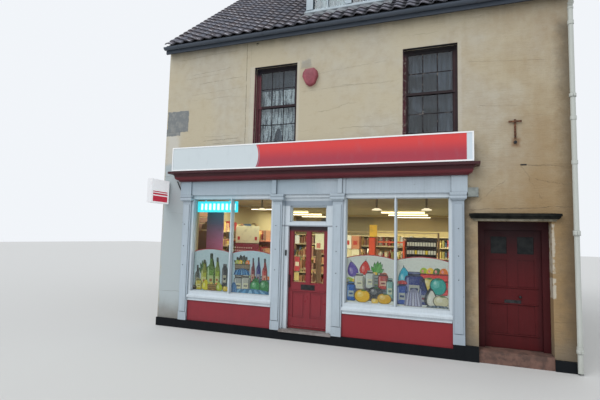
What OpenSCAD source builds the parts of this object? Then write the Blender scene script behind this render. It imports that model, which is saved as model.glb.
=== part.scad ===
/* [House] */
// Width between the outer faces of the two party walls
house_w = 7900; // [7800:50:8600]
// Depth from the front wall face to the rear wall face
house_d = 8000; // [7000:100:9500]
// Thickness of the front and rear walls
wall_t = 450; // [400:10:550]
// Thickness of each party wall
party_t = 250; // [200:10:280]
// Height of the wall tops at the eaves
eaves_z = 6090; // [6060:10:6400]
// Pitch of both roof slopes in degrees
roof_pitch = 41; // [38:1:44]
// Thickness of a roof slope, square to the slope
roof_t = 150; // [120:10:180]
// Distance that the eaves reach past the walls
eaves_out = 130; // [100:10:180]
// Thickness of the eaves boards
eaves_board_t = 25; // [20:1:30]
// Height of the eaves boards
eaves_board_h = 190; // [150:10:220]
// Number of pantile columns along the roof
tile_columns = 33; // [30:1:36]
// Height of the rolls of the pantiles above their troughs
tile_roll = 48; // [30:2:54]
// Height of the troughs of the pantiles above the slope
tile_bed = 24; // [20:1:30]
// Distance that the pantiles reach past the eaves
tile_out = 60; // [50:5:65]

/* [Floors] */
// Top of the ground floor
floor_z = 200; // [195:5:215]
// Underside of the shop ceiling
ceiling_z = 2790; // [2780:5:2795]
// Thickness of the first floor
floor_t = 240; // [200:10:300]
// Underside of the upper ceiling
upper_ceiling_z = 5760; // [5650:10:5800]
// Thickness of the attic floor
attic_floor_t = 180; // [150:10:220]

/* [Shopfront] */
// Distance from the left party line to the shopfront
shop_x = 560; // [500:10:600]
// Width of each pilaster
pilaster_w = 190; // [170:5:210]
// Width of the window bay left of the shop door, while the bay right of it takes what the house leaves
window_bay = 1935; // [1850:5:1980]
// Width of the door bay between pilasters
door_bay = 1040; // [1030:5:1080]
// Width of the wall between the shopfront and the side doorway
mid_pier = 210; // [150:10:300]
// Height of the window heads, where the frieze begins
head_z = 2800; // [2800:5:2830]
// Height of the black plinth
plinth_h = 170; // [140:5:180]
// Height of the plinth at its raised right end
plinth_end_h = 250; // [200:5:280]
// Distance that the plinth stands out from the wall
plinth_out = 45; // [30:5:60]
// Top of the red stallrisers, under the sills
stall_z = 610; // [560:10:640]
// Height of the moulded sills
sill_h = 110; // [90:5:130]
// Distance that the sills stand out from the wall
sill_out = 42; // [30:2:60]
// Thickness of the stallrisers and the window beds
stall_t = 180; // [165:5:200]
// Distance that the pilaster shafts stand out
pilaster_out = 50; // [40:5:70]
// Height of each pilaster capital
capital_h = 135; // [110:5:160]
// Distance that the capitals reach past the shafts
capital_out = 45; // [30:5:55]
// Depth of the window frames
frame_d = 110; // [90:5:130]
// Visible width of the window frame members
frame_w = 65; // [50:5:80]
// Width of the centre bar of each window
mullion_w = 50; // [40:5:70]
// Thickness of the shop glass
glass_t = 8; // [6:1:12]
// Height of the frieze
frieze_h = 290; // [250:10:300]
// Distance that the frieze board stands out
frieze_out = 40; // [30:5:60]
// Height of the cornice
cornice_h = 200; // [160:10:240]
// Depth of the core that carries the cornice
cornice_core = 100; // [80:5:120]
// Distance that the cornice reaches past its core
cornice_out = 195; // [150:5:230]
// Height of the sign box
sign_h = 500; // [400:10:600]
// Depth of the sign box
sign_d = 190; // [140:10:200]
// Distance that the sign box reaches past the shopfront at each end
sign_over = 155; // [100:5:200]
// Width of the rim round the sign face
sign_rim = 24; // [18:2:40]
// Side of the square arms that hold the sign box
sign_arm = 40; // [30:5:60]

/* [Shop door] */
// Width of the shop door
leaf_w = 830; // [780:5:850]
// Height of the shop door
leaf_h = 1980; // [1940:5:2000]
// Thickness of both doors
leaf_t = 45; // [40:1:50]
// Gap round a closed door
door_gap = 5; // [5:0.5:7]
// Distance from the wall face to the front of the shop door
leaf_in = 120; // [105:5:135]
// Height of the transom bar over the shop door
transom_h = 90; // [70:5:110]
// Height of the glass over the transom bar
fanlight_h = 270; // [220:5:300]

/* [Side door] */
// Distance from the side doorway to the right party line
side_pier = 370; // [330:10:420]
// Width of the side doorway
side_w = 1090; // [1040:10:1120]
// Height of the head of the side doorway
side_head_z = 2320; // [2300:5:2360]
// Width of the side door
side_leaf_w = 900; // [860:5:920]
// Height of the side door
side_leaf_h = 1980; // [1940:5:2000]
// Distance from the wall face to the front of the side door
side_in = 300; // [260:5:330]
// Height of the stone hood over the side doorway
hood_h = 130; // [100:5:160]
// Distance that the hood stands out
hood_out = 110; // [80:5:150]

/* [Upper windows] */
// Width of each sash window
sash_w = 950; // [900:10:975]
// Height of each sash window
sash_h = 1680; // [1500:10:1700]
// Height of the window heads on the upper storey
sash_head_z = 5480; // [5400:10:5500]
// Height of the rear window heads on the ground storey
rear_head_z = 2500; // [2400:10:2600]
// Distance from the left party line to the first window
sash_x = 2160; // [1900:10:2300]
// Distance between the left edges of the two windows
sash_step = 3030; // [2800:10:3200]
// Depth from the wall face to the sash frame
sash_in = 100; // [80:5:120]
// Depth of the sash frames
sash_d = 100; // [90:5:120]
// Visible width of the outer sash frame
sash_frame = 45; // [35:5:60]
// Width of the sash stiles and rails
sash_rail = 45; // [35:5:60]

/* [Dormer] */
// Distance from the left party line to the dormer
dormer_x = 3130; // [2900:10:3300]
// Width of the dormer
dormer_w = 1740; // [1600:10:1900]
// Depth from the wall face to the dormer front
dormer_in = 450; // [400:10:550]
// Height of the underside of the dormer roof
dormer_top = 7790; // [7700:10:7850]
// Thickness of the dormer cheeks and front
dormer_t = 90; // [70:5:110]
// Thickness of the dormer roof
dormer_roof_t = 60; // [40:5:80]
// Distance that the dormer roof reaches past its walls
dormer_over = 75; // [50:5:100]

/* [Fittings] */
// Radius of the half-round gutters
gutter_r = 55; // [50:1:60]
// Wall thickness of the gutters
gutter_t = 4; // [3:0.5:6]
// Distance from the top of the eaves boards down to the gutter centres
gutter_drop = 75; // [65:5:90]
// Radius of the downpipes
pipe_r = 38; // [34:1:42]
// Distance from the wall face to the middle of the downpipes
pipe_out = 95; // [80:5:110]
// Heights of four brackets of each downpipe
bracket_zs = [360, 2120, 3220, 3930]; // [100:10:5000]
// Width of the alarm box
alarm_w = 330; // [280:10:360]
// Height of the alarm box
alarm_h = 370; // [320:10:400]
// Distance from the left party line to the middle of the alarm box
alarm_x = 3400; // [3300:10:3500]
// Height of the middle of the alarm box above the ground
alarm_z = 5130; // [4900:10:5300]
// Height of the projecting sign
flag_h = 500; // [450:10:560]
// Reach of the projecting sign from its bracket
flag_reach = 570; // [500:10:640]
// Width of the lit sign behind the left window
led_w = 980; // [800:10:1020]
// Height of the lit sign
led_h = 230; // [180:10:240]
// Number of ceiling light rows from front to back
light_rows = 4; // [3:1:4]
// Distance between two rows of lights
row_step = 1400; // [1200:50:1450]
// Length of the ceiling tubes
tube_w = 1200; // [600:100:1500]
// Width of the bell lamps behind the windows
lamp_d = 200; // [150:10:260]
// Width of one shelf bay
shelf_bay = 900; // [800:50:950]
// Depth of the shelves
shelf_d = 450; // [400:10:500]
// Height of the wall shelving
shelf_h = 1850; // [1600:50:2200]
// Height of the shelving in the middle of the shop
gondola_h = 1950; // [1400:50:2000]

/* [Hidden] */

// Small clearances and shared offsets
seat = 0.3;
cut = 20;
// Reach of the dormer's sill, and fall of the dormer's roof
dormer_nose = 60;
dormer_fall = 25;
// Mortar bed between the sloping faces of the roof and what meets them
roof_bed = 0.1;
inner_w = house_w - 2 * party_t;
roof_drop = roof_t / cos(roof_pitch);
ridge_z = eaves_z + house_d / 2 * tan(roof_pitch);

// Places along the front: side doorway and shopfront
side_right = house_w - side_pier;
side_left = side_right - side_w;
shop_right = side_left - mid_pier;
shop_w = shop_right - shop_x;
door_bay_x = shop_x + 2 * pilaster_w + window_bay;
// Left edge and width of each window bay
bay_xs = [shop_x + pilaster_w, door_bay_x + door_bay + pilaster_w];
bay_ws = [window_bay, shop_right - pilaster_w - bay_xs[1]];
// Left edge of each pilaster
pilaster_xs = [shop_x, door_bay_x - pilaster_w, door_bay_x + door_bay, shop_right - pilaster_w];
lap = pilaster_w / 2;
bed_z = stall_z + sill_h;
frame_foot = 75;
frame_head = 90;
window_top = head_z - frame_head;

// Shop door places
leaf_z = floor_z + door_gap;
leaf_x = door_bay_x + (door_bay - leaf_w) / 2;
leaf_back = leaf_in + leaf_t;
stop_lap = 12;
transom_z = leaf_z + leaf_h + door_gap;
fanlight_z = transom_z + transom_h;

// Side door places
side_z = floor_z + door_gap;
side_leaf_x = side_left + (side_w - side_leaf_w) / 2;
side_back = side_in + leaf_t;

// Hinge knuckles on the inner faces of the doors
knuckle_r = 8;
knuckle_h = 32;
pin_r = 4;
hinge_plate_w = 34;
hinge_plate_t = 3;
hinge_zs = [260, 1020, 1720];

// Upper window places
sash_xs = [sash_x, sash_x + sash_step];
sash_z = sash_head_z - sash_h;
rear_sash_z = rear_head_z - sash_h;

// Heights in one sash window, above its own foot
sash_foot = 60;
sash_half = (sash_h - sash_frame - sash_foot) / 2;
sash_pane_w = sash_w - 2 * sash_frame - 2 * sash_rail;
upper_pane_z = sash_foot + sash_half + sash_rail / 2;
upper_pane_h = sash_half - 1.5 * sash_rail;
lower_pane_z = sash_foot + 1.4 * sash_rail;
lower_pane_h = sash_half - 1.9 * sash_rail;

// Height of the top face of the front slope at a depth from the wall face
function slope_z(y) = eaves_z + roof_drop + y * tan(roof_pitch);
// Points of an arc in the plane of a moulding profile
function arc(x, z, r, a, b, n = 8) =
    [for (i = [0 : n]) [x + r * cos(a + (b - a) * i / n), z + r * sin(a + (b - a) * i / n)]];

// Puts a piece at the left end of the front wall face, at ground level
module on_front() {
    translate([-house_w / 2, -house_d / 2, 0]) children();
}

// Turns a piece of the front to the rear
module on_rear() {
    rotate([0, 0, 180]) on_front() children();
}

// Extrudes a section drawn in depth and height along the width of the house
module along_x(x, length) {
    translate([x, 0, 0]) rotate([90, 0, 90]) linear_extrude(length) children();
}

// A block whose front and two ends carry the same moulding, mitred at the corners
module returned_moulding(x0, x1, front, back, outline) {
    reach = max([for (p = outline) p[0]]) + cut;
    low = outline[0][1];
    high = outline[len(outline) - 1][1];
    intersection() {
        along_x(x0 - reach, x1 - x0 + 2 * reach)
            polygon(concat([for (p = outline) [front - p[0], p[1]]], [[back, high], [back, low]]));
        translate([0, back, 0]) rotate([90, 0, 0]) linear_extrude(back - front + reach)
            polygon(concat(
                [for (p = outline) [x1 + p[0], p[1]]],
                [for (i = [len(outline) - 1 : -1 : 0]) [x0 - outline[i][0], outline[i][1]]]
            ));
    }
}

module gable_wall() {
    along_x(0, party_t) polygon([
        [0, 0], [house_d, 0], [house_d, eaves_z], [house_d / 2, ridge_z], [0, eaves_z]
    ]);
}

module left_party_wall() {
    color("lightgray") on_front() gable_wall();
}

module right_party_wall() {
    color("lightgray") on_front() translate([house_w - party_t, 0, 0]) gable_wall();
}

// Wall section from a given height up to the underside of the roof
module wall_section(bottom) {
    polygon([
        [0, bottom], [wall_t, bottom],
        [wall_t, eaves_z + wall_t * tan(roof_pitch)], [0, eaves_z]
    ]);
}

module window_holes(bottom) {
    for (x = sash_xs) translate([x, -cut, bottom]) cube([sash_w, wall_t + 2 * cut, sash_h]);
}

module front_wall() {
    color("burlywood") on_front() difference() {
        along_x(party_t, inner_w) wall_section(head_z);
        window_holes(sash_z);
    }
}

module front_piers() {
    color("burlywood") on_front() {
        pier(party_t, shop_x + lap);
        pier(shop_right - lap, side_left);
        pier(side_right, house_w - party_t);
    }
}

module pier(x0, x1) {
    translate([x0, 0, 0]) cube([x1 - x0, wall_t, head_z]);
}

module side_door_head() {
    color("burlywood") on_front()
        translate([side_left, 0, side_head_z]) cube([side_w, wall_t, head_z - side_head_z]);
}

module rear_wall() {
    color("burlywood") on_rear() difference() {
        along_x(party_t, inner_w) wall_section(0);
        window_holes(sash_z);
        window_holes(rear_sash_z);
    }
}

module room_slab(z, t) {
    translate([party_t, wall_t, z]) cube([inner_w, house_d - 2 * wall_t, t]);
}

module ground_floor() {
    color("tan") on_front() {
        room_slab(0, floor_z);
        translate([shop_x + lap, stall_t, 0]) cube([shop_w - 2 * lap, wall_t - stall_t, floor_z]);
        translate([side_left, side_back, 0]) cube([side_w, wall_t - side_back, floor_z]);
    }
}

module first_floor() {
    color("beige") on_front() room_slab(ceiling_z, floor_t);
}

module attic_floor() {
    color("beige") on_front() room_slab(upper_ceiling_z, attic_floor_t);
}

module roof_slope() {
    along_x(0, house_w) polygon([
        [-eaves_out, slope_z(-eaves_out) - roof_drop + roof_bed],
        [house_d / 2, ridge_z + roof_bed],
        [house_d / 2, ridge_z + roof_drop - roof_bed],
        [-eaves_out, slope_z(-eaves_out) - roof_bed]
    ]);
}

module roof_front() {
    well_y = dormer_in + dormer_t;
    well_end = (dormer_top - slope_z(0)) / tan(roof_pitch);
    color("dimgray") on_front() difference() {
        roof_slope();
        translate([dormer_x + dormer_t, well_y, eaves_z])
            cube([dormer_w - 2 * dormer_t, well_end - well_y, ridge_z - eaves_z]);
    }
}

module roof_rear() {
    color("dimgray") on_rear() roof_slope();
}

// Half width of the ridge tiles' bed, and the gap from there to the pantiles
ridge_in = 115;
tile_gap = 3;
// Points along the wave of one column of pantiles
tile_points = 6;

// Rolls of the pantiles run up the slope in one sheet, notched over the eaves board
module pantile_slope() {
    run = house_d / 2 + eaves_out + tile_out - ridge_in - tile_gap;
    length = run / cos(roof_pitch);
    column = house_w / tile_columns;
    low_y = -eaves_out - tile_out;
    rolls = [
        for (i = [0 : tile_columns * tile_points])
            [i * column / tile_points, tile_bed + tile_roll / 2 * (1 + sin(360 * i / tile_points))]
    ];
    difference() {
        translate([0, low_y, slope_z(low_y)]) rotate([90 + roof_pitch, 0, 0])
            translate([0, 0, -length]) linear_extrude(length)
                polygon(concat(rolls, [[house_w, 0], [0, 0]]));
        translate([-cut, -eaves_out - eaves_board_t - seat, eaves_z])
            cube([house_w + 2 * cut, eaves_board_t + seat, slope_z(-eaves_out) + roof_bed - eaves_z]);
    }
}

module tiles_front() {
    side_gap = 5;
    apron = 130;
    low_y = dormer_in - dormer_nose - apron;
    top_y = (dormer_top + dormer_roof_t + dormer_fall - slope_z(0)) / tan(roof_pitch) + side_gap;
    color("saddlebrown") on_front() difference() {
        pantile_slope();
        translate([dormer_x - dormer_over - side_gap, low_y, eaves_z])
            cube([dormer_w + 2 * (dormer_over + side_gap), top_y - low_y, ridge_z - eaves_z]);
    }
}

module tiles_rear() {
    color("saddlebrown") on_rear() pantile_slope();
}

// Half-round ridge tiles bedded in mortar on the two slopes
module ridge() {
    ridge_r = 130;
    ridge_sink = 60;
    top = ridge_z + roof_drop;
    bed = top - ridge_in * tan(roof_pitch);
    color("saddlebrown") along_x(-house_w / 2, house_w) polygon(concat(
        [[ridge_in, bed]],
        arc(0, top - ridge_sink, ridge_r, 10, 170, 16),
        [[-ridge_in, bed], [0, top]]
    ));
}

module eaves_board() {
    translate([0, -eaves_out - eaves_board_t, slope_z(-eaves_out) - eaves_board_h])
        cube([house_w, eaves_board_t, eaves_board_h]);
}

module eaves_boards() {
    color("black") {
        on_front() eaves_board();
        on_rear() eaves_board();
    }
}

gutter_y = -eaves_out - eaves_board_t - gutter_r;
gutter_z = slope_z(-eaves_out) - gutter_drop;
outlet_h = 30;
outlet_z = gutter_z - gutter_r - outlet_h;
pipe_in = 50;

// Half-round trough with closed ends and an outlet over the downpipe
module gutter() {
    difference() {
        union() {
            translate([0, gutter_y, gutter_z]) rotate([0, 90, 0])
                linear_extrude(house_w) intersection() {
                    circle(gutter_r, $fn = 48);
                    translate([0, -gutter_r]) square([gutter_r, 2 * gutter_r]);
                }
            translate([house_w - pipe_in, gutter_y, outlet_z])
                cylinder(h = gutter_r, r = pipe_r - gutter_t, $fn = 32);
        }
        translate([gutter_t, gutter_y, gutter_z]) rotate([0, 90, 0])
            cylinder(h = house_w - 2 * gutter_t, r = gutter_r - gutter_t, $fn = 48);
    }
}

module gutters() {
    color("black") {
        on_front() gutter();
        on_rear() gutter();
    }
}

// Sizes of the swan neck between the pipe and the gutter outlet
bend_r = 90;
bend_angle = 50;
socket_h = 30;
socket_t = 6;
neck_run = -gutter_y - pipe_out;
neck_straight = (neck_run - 2 * bend_r * (1 - cos(bend_angle))) / sin(bend_angle);
neck_rise = 2 * bend_r * sin(bend_angle) + neck_straight * cos(bend_angle);

// Bend of a pipe that comes up the height axis and leans forward
module pipe_bend() {
    translate([0, -bend_r, 0]) rotate([90, 0, 90])
        rotate_extrude(angle = bend_angle, $fn = 96) translate([bend_r, 0]) circle(pipe_r, $fn = 32);
}

// Socket that joins two lengths of pipe
module pipe_socket() {
    translate([0, 0, -socket_h / 2]) cylinder(h = socket_h, r = pipe_r + socket_t, $fn = 32);
}

// Bends that carry the pipe forward from the wall to the gutter outlet
module swan_neck() {
    pipe_bend();
    pipe_socket();
    translate([0, bend_r * (cos(bend_angle) - 1), bend_r * sin(bend_angle)]) rotate([bend_angle, 0, 0]) {
        cylinder(h = neck_straight, r = pipe_r, $fn = 32);
        pipe_socket();
        translate([0, 0, neck_straight]) pipe_socket();
    }
    translate([0, -neck_run, neck_rise]) {
        rotate([0, 0, 180]) mirror([0, 0, 1]) pipe_bend();
        pipe_socket();
    }
}

module downpipe() {
    pipe_foot = 30;
    head = 60;
    collar_h = 60;
    collar_t = 8;
    lug = 24;
    top_bracket = 275;
    neck_z = outlet_z - head - neck_rise;
    translate([house_w - pipe_in, -pipe_out, 0]) {
        translate([0, 0, pipe_foot]) cylinder(h = neck_z - pipe_foot, r = pipe_r, $fn = 32);
        for (z = concat(bracket_zs, [neck_z - top_bracket])) translate([0, 0, z]) {
            cylinder(h = collar_h, r = pipe_r + collar_t, $fn = 32);
            translate([-lug / 2, 0, collar_h / 4]) cube([lug, pipe_out, collar_h / 2]);
        }
        translate([0, 0, neck_z]) swan_neck();
        translate([0, -neck_run, outlet_z - head]) cylinder(h = head, r = pipe_r, $fn = 32);
    }
}

module downpipes() {
    color("tan") {
        on_front() downpipe();
        on_rear() downpipe();
    }
}

module dormer_cheek() {
    start = dormer_in + dormer_t;
    along_x(0, dormer_t) polygon([
        [start, slope_z(start)],
        [(dormer_top - slope_z(0)) / tan(roof_pitch), dormer_top],
        [start, dormer_top]
    ]);
}

module dormer_cheeks() {
    color("gray") on_front() translate([dormer_x, 0, 0]) {
        dormer_cheek();
        translate([dormer_w - dormer_t, 0, 0]) dormer_cheek();
    }
}

// Places of the four dormer panes
dormer_stile = 60;
dormer_bar = 28;
dormer_mullion = 80;
dormer_pane_w = (dormer_w - 2 * dormer_stile - dormer_mullion - 2 * dormer_bar) / 4;
dormer_pane_xs = [
    for (side = [0, 1], pane = [0, 1])
        dormer_x + dormer_stile + pane * (dormer_pane_w + dormer_bar)
        + side * (2 * dormer_pane_w + dormer_bar + dormer_mullion)
];
dormer_sill_z = slope_z(dormer_in) + 50;
dormer_pane_z = dormer_sill_z + 75;
dormer_pane_h = dormer_top - 70 - dormer_pane_z;

module dormer_window() {
    color("white") on_front() difference() {
        union() {
            along_x(dormer_x, dormer_w) polygon([
                [dormer_in, slope_z(dormer_in)],
                [dormer_in + dormer_t, slope_z(dormer_in + dormer_t)],
                [dormer_in + dormer_t, dormer_top],
                [dormer_in, dormer_top]
            ]);
            along_x(dormer_x - 20, dormer_w + 40) polygon([
                [dormer_in, dormer_sill_z],
                [dormer_in, dormer_sill_z + 45],
                [dormer_in - dormer_nose, dormer_sill_z + 30],
                [dormer_in - dormer_nose, dormer_sill_z - 5],
                [dormer_in - 20, dormer_sill_z - 5]
            ]);
        }
        for (x = dormer_pane_xs)
            translate([x, dormer_in - cut, dormer_pane_z])
                cube([dormer_pane_w, dormer_t + 2 * cut, dormer_pane_h]);
    }
}

module dormer_roof() {
    y0 = dormer_in - dormer_over;
    high = dormer_top + dormer_roof_t;
    end_low = (dormer_top - slope_z(0)) / tan(roof_pitch);
    end_high = (high + dormer_fall - slope_z(0)) / tan(roof_pitch);
    color("slategray") on_front() along_x(dormer_x - dormer_over, dormer_w + 2 * dormer_over) polygon([
        [y0, dormer_top], [end_low, dormer_top], [end_high, high + dormer_fall], [y0, high]
    ]);
}

step_t = 45;
step_gap = 5;
step_z = floor_z - step_t - step_gap;
step_nose = 25;

// Slab in the doorway of the shop, wider behind the pilasters than between them
module shop_step(nose) {
    translate([door_bay_x, -plinth_out - nose, step_z]) cube([door_bay, plinth_out + nose, step_t]);
    translate([door_bay_x - lap, 0, step_z]) cube([door_bay + 2 * lap, stall_t, step_t]);
}

module plinth() {
    color("black") on_front() {
        difference() {
            union() {
                translate([0, -plinth_out, 0]) cube([side_left, plinth_out, plinth_h]);
                translate([shop_x + lap, 0, 0]) cube([shop_w - 2 * lap, stall_t, plinth_h]);
                translate([shop_right - pilaster_w, -plinth_out, 0])
                    cube([side_left - shop_right + pilaster_w, plinth_out, plinth_end_h]);
            }
            shop_step(cut);
        }
        translate([side_right, -plinth_out, 0]) cube([side_pier, plinth_out, plinth_h]);
    }
}

module door_steps() {
    side_nose = 20;
    color("darkkhaki") on_front() {
        shop_step(step_nose);
        translate([side_left, -side_nose, 0]) cube([side_w, side_back + side_nose, floor_z]);
    }
}

module stallrisers() {
    color("firebrick") on_front() for (i = [0, 1])
        translate([bay_xs[i] - lap, 0, plinth_h])
            cube([bay_ws[i] + 2 * lap, stall_t, stall_z - plinth_h]);
}

// Three-step moulding of the shop window sills
module shop_sills() {
    step_r = 16;
    fillet = sill_out * 0.35;
    fillet_h = 26;
    nose_z = stall_z + fillet_h + step_r;
    section = concat(
        [[stall_t, stall_z], [0, stall_z], [-fillet, stall_z], [-fillet, stall_z + fillet_h]],
        arc(-fillet - step_r, stall_z + fillet_h, step_r, 0, 90, 6),
        [[-sill_out, nose_z], [-sill_out, bed_z - 30], [-sill_out * 0.7, bed_z - 22],
         [0, bed_z], [stall_t, bed_z]]
    );
    color("white") on_front() for (i = [0, 1]) {
        along_x(bay_xs[i], bay_ws[i]) polygon(section);
        translate([bay_xs[i] - lap, 0, stall_z]) cube([bay_ws[i] + 2 * lap, stall_t, sill_h]);
    }
}

// Place and size of the glass in both halves of both windows
shop_pane_z = bed_z + frame_foot;
shop_pane_h = window_top - shop_pane_z;
function shop_pane_w(i) = (bay_ws[i] - 2 * frame_w - mullion_w) / 2;
function shop_pane_x(i, side) = bay_xs[i] + frame_w + side * (shop_pane_w(i) + mullion_w);

module shop_window_frames() {
    bead = 14;
    bead_in = 55;
    color("white") on_front() for (i = [0, 1]) difference() {
        translate([bay_xs[i] - lap, 0, bed_z]) cube([bay_ws[i] + 2 * lap, frame_d, head_z - bed_z]);
        for (side = [0, 1]) translate([shop_pane_x(i, side), -cut, shop_pane_z]) {
            cube([shop_pane_w(i), frame_d + 2 * cut, shop_pane_h]);
            translate([-bead, 0, -bead])
                cube([shop_pane_w(i) + 2 * bead, cut + bead_in, shop_pane_h + 2 * bead]);
        }
    }
}

// Panes stand in the middle of the frames
glass_in = 75;

module shopfront_glass() {
    color("lightblue") on_front() {
        for (i = [0, 1], side = [0, 1]) translate([shop_pane_x(i, side), glass_in, shop_pane_z])
            cube([shop_pane_w(i), glass_t, shop_pane_h]);
        translate([fanlight_x, leaf_in, fanlight_z]) cube([fanlight_w, glass_t, fanlight_h]);
    }
}

function capital_outline() = concat(
    [[0, head_z - capital_h], [10, head_z - capital_h], [10, head_z - capital_h + 14]],
    arc(10, head_z - capital_h + 14 + capital_out * 0.75, capital_out * 0.75, -90, 0, 8),
    [[capital_out * 0.75 + 10, head_z - 50], [capital_out - 4, head_z - 50], [capital_out - 4, head_z - 30],
     [capital_out, head_z - 30], [capital_out, head_z]]
);

module pilaster(x, foot) {
    band = 28;
    sunk = 14;
    groove = 12;
    base_h = 180;
    neck = 60;
    body_out = pilaster_out - sunk;
    translate([x, -body_out, foot]) cube([pilaster_w, body_out, head_z - foot]);
    translate([x + band, -pilaster_out, foot + base_h])
        cube([pilaster_w - 2 * band, sunk, head_z - foot - capital_h - base_h - neck]);
    translate([x, -pilaster_out, foot]) cube([pilaster_w, sunk, base_h - groove]);
    returned_moulding(x, x + pilaster_w, -pilaster_out, 0, capital_outline());
}

module pilasters() {
    color("white") on_front() {
        for (i = [0 : 2]) pilaster(pilaster_xs[i], plinth_h);
        pilaster(pilaster_xs[3], plinth_end_h);
    }
}

frieze_over = 55;
frieze_left = shop_x - frieze_over;
frieze_right = shop_right + frieze_over;
frieze_top = head_z + frieze_h;

module frieze() {
    block_w = 260;
    block_out = 30;
    strip_w = 110;
    color("white") on_front() {
        translate([frieze_left, -frieze_out, head_z])
            cube([frieze_right - frieze_left, frieze_out, frieze_h]);
        for (x = [frieze_left, frieze_right - block_w])
            translate([x, -frieze_out - block_out, head_z]) cube([block_w, block_out, frieze_h]);
        for (x = [pilaster_xs[1] - strip_w / 2, pilaster_xs[2] + pilaster_w - strip_w / 2])
            translate([x, -frieze_out - block_out / 2, head_z]) cube([strip_w, block_out / 2, frieze_h]);
    }
}

// Maroon cornice: a fillet, a double curve and a square lip
module cornice() {
    bead_out = 18;
    bead_h = 20;
    fillet_out = 30;
    fillet_h = 10;
    lip = 45;
    z0 = frieze_top;
    z1 = frieze_top + cornice_h;
    curve_z = z0 + bead_h + fillet_h;
    r = (z1 - lip - curve_z) / 2;
    outline = concat(
        [[0, z0], [bead_out, z0], [bead_out, z0 + bead_h], [fillet_out, z0 + bead_h], [fillet_out, curve_z]],
        arc(fillet_out, curve_z + r, r, -90, 0, 8),
        arc(fillet_out + 2 * r, curve_z + r, r, 180, 90, 8),
        [[cornice_out, curve_z + 2 * r], [cornice_out, z1], [0, z1 + cornice_fall]]
    );
    color("maroon") on_front()
        returned_moulding(frieze_left, frieze_right, -cornice_core, 0, outline);
}

cornice_fall = 8;
sign_z = frieze_top + cornice_h + cornice_fall;
sign_left = shop_x - sign_over;
sign_w = shop_w + 2 * sign_over;
sign_back = 5;
sign_front = cornice_core + cornice_out - sign_back;
sign_pocket = 14;

module sign_box() {
    arm_reach = sign_front - sign_d;
    arm_drop = 90;
    arm_xs = [0.08, 0.36, 0.64, 0.92];
    color("whitesmoke") on_front() {
        difference() {
            translate([sign_left, -sign_front, sign_z]) cube([sign_w, sign_d, sign_h]);
            translate([sign_left + sign_rim, -sign_front - cut, sign_z + sign_rim])
                cube([sign_w - 2 * sign_rim, sign_pocket + cut, sign_h - 2 * sign_rim]);
        }
        for (share = arm_xs)
            translate([sign_left + share * sign_w, -arm_reach, sign_z + sign_h - arm_drop])
                cube([sign_arm, arm_reach, sign_arm]);
    }
}

module sign_face() {
    face_t = 6;
    color("crimson") on_front()
        translate([sign_left + sign_rim, -sign_front + sign_pocket - face_t, sign_z + sign_rim])
            cube([sign_w - 2 * sign_rim, face_t, sign_h - 2 * sign_rim]);
}

fanlight_side = 170;
fanlight_w = door_bay - 2 * fanlight_side;
fanlight_x = door_bay_x + (door_bay - fanlight_w) / 2;

module shop_door_frame() {
    outer_x = door_bay_x - lap;
    foot = step_z + step_t;
    color("white") on_front() {
        difference() {
            translate([outer_x, 0, foot]) cube([door_bay + 2 * lap, leaf_back, head_z - foot]);
            // Outer step of the frame
            translate([door_bay_x + 35, -cut, foot - cut])
                cube([door_bay - 70, cut + 45, head_z - foot - 60 + cut]);
            // Opening between the stops
            translate([leaf_x + stop_lap, -cut, foot - cut])
                cube([leaf_w - 2 * stop_lap, leaf_back + 2 * cut, transom_z - foot - stop_lap + cut]);
            // Rebate that the door closes into
            translate([leaf_x - door_gap, leaf_in - door_gap, foot - cut])
                cube([leaf_w + 2 * door_gap, leaf_t + door_gap + cut, transom_z - foot + cut]);
            // Light over the door
            translate([fanlight_x - 30, -cut, fanlight_z - 20])
                cube([fanlight_w + 60, cut + leaf_in - 20, fanlight_h + 50]);
            translate([fanlight_x, -cut, fanlight_z]) cube([fanlight_w, leaf_back + 2 * cut, fanlight_h]);
        }
        frame_hinges(leaf_x + leaf_w + door_gap / 2, leaf_back, leaf_z);
    }
}

// Two outer knuckles and the pin of each hinge, on a plate on the frame
module frame_hinges(x, y, z) {
    for (h = hinge_zs) translate([x, y + knuckle_r + 1, z + h]) {
        translate([0, 0, -knuckle_h - seat]) cylinder(h = knuckle_h, r = knuckle_r, $fn = 32);
        translate([0, 0, knuckle_h + seat]) cylinder(h = knuckle_h, r = knuckle_r, $fn = 32);
        translate([0, 0, -knuckle_h]) cylinder(h = 3 * knuckle_h, r = pin_r, $fn = 32);
        for (low = [-knuckle_h - seat, knuckle_h + seat])
            translate([0, -knuckle_r - 1, low])
                cube([knuckle_r + 2, hinge_plate_t, knuckle_h]);
        translate([knuckle_r + 1, -knuckle_r - 1, -knuckle_h - seat])
            cube([hinge_plate_w, hinge_plate_t, 3 * knuckle_h + 2 * seat]);
    }
}

// Middle knuckle of each hinge, on a plate on the door
module leaf_hinges(x, y, z) {
    for (h = hinge_zs) translate([x, y + knuckle_r + 1, z + h]) {
        difference() {
            union() {
                cylinder(h = knuckle_h, r = knuckle_r, $fn = 32);
                translate([-knuckle_r - 2, -knuckle_r - 1, 0])
                    cube([knuckle_r + 2, hinge_plate_t, knuckle_h]);
            }
            translate([0, 0, -cut]) cylinder(h = knuckle_h + 2 * cut, r = pin_r + seat, $fn = 32);
        }
        translate([-knuckle_r - 1 - hinge_plate_w, -knuckle_r - 1, -knuckle_h])
            cube([hinge_plate_w, hinge_plate_t, 3 * knuckle_h]);
    }
}

// Shop door panes: two tall lights over the lock rail
door_stile = 105;
door_muntin = 105;
door_top_rail = 110;
lock_rail_z = 885;
pane_w = (leaf_w - 2 * door_stile - door_muntin) / 2;
pane_xs = [leaf_x + door_stile, leaf_x + door_stile + pane_w + door_muntin];
pane_z = leaf_z + lock_rail_z;
pane_h = leaf_h - lock_rail_z - door_top_rail;

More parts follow.
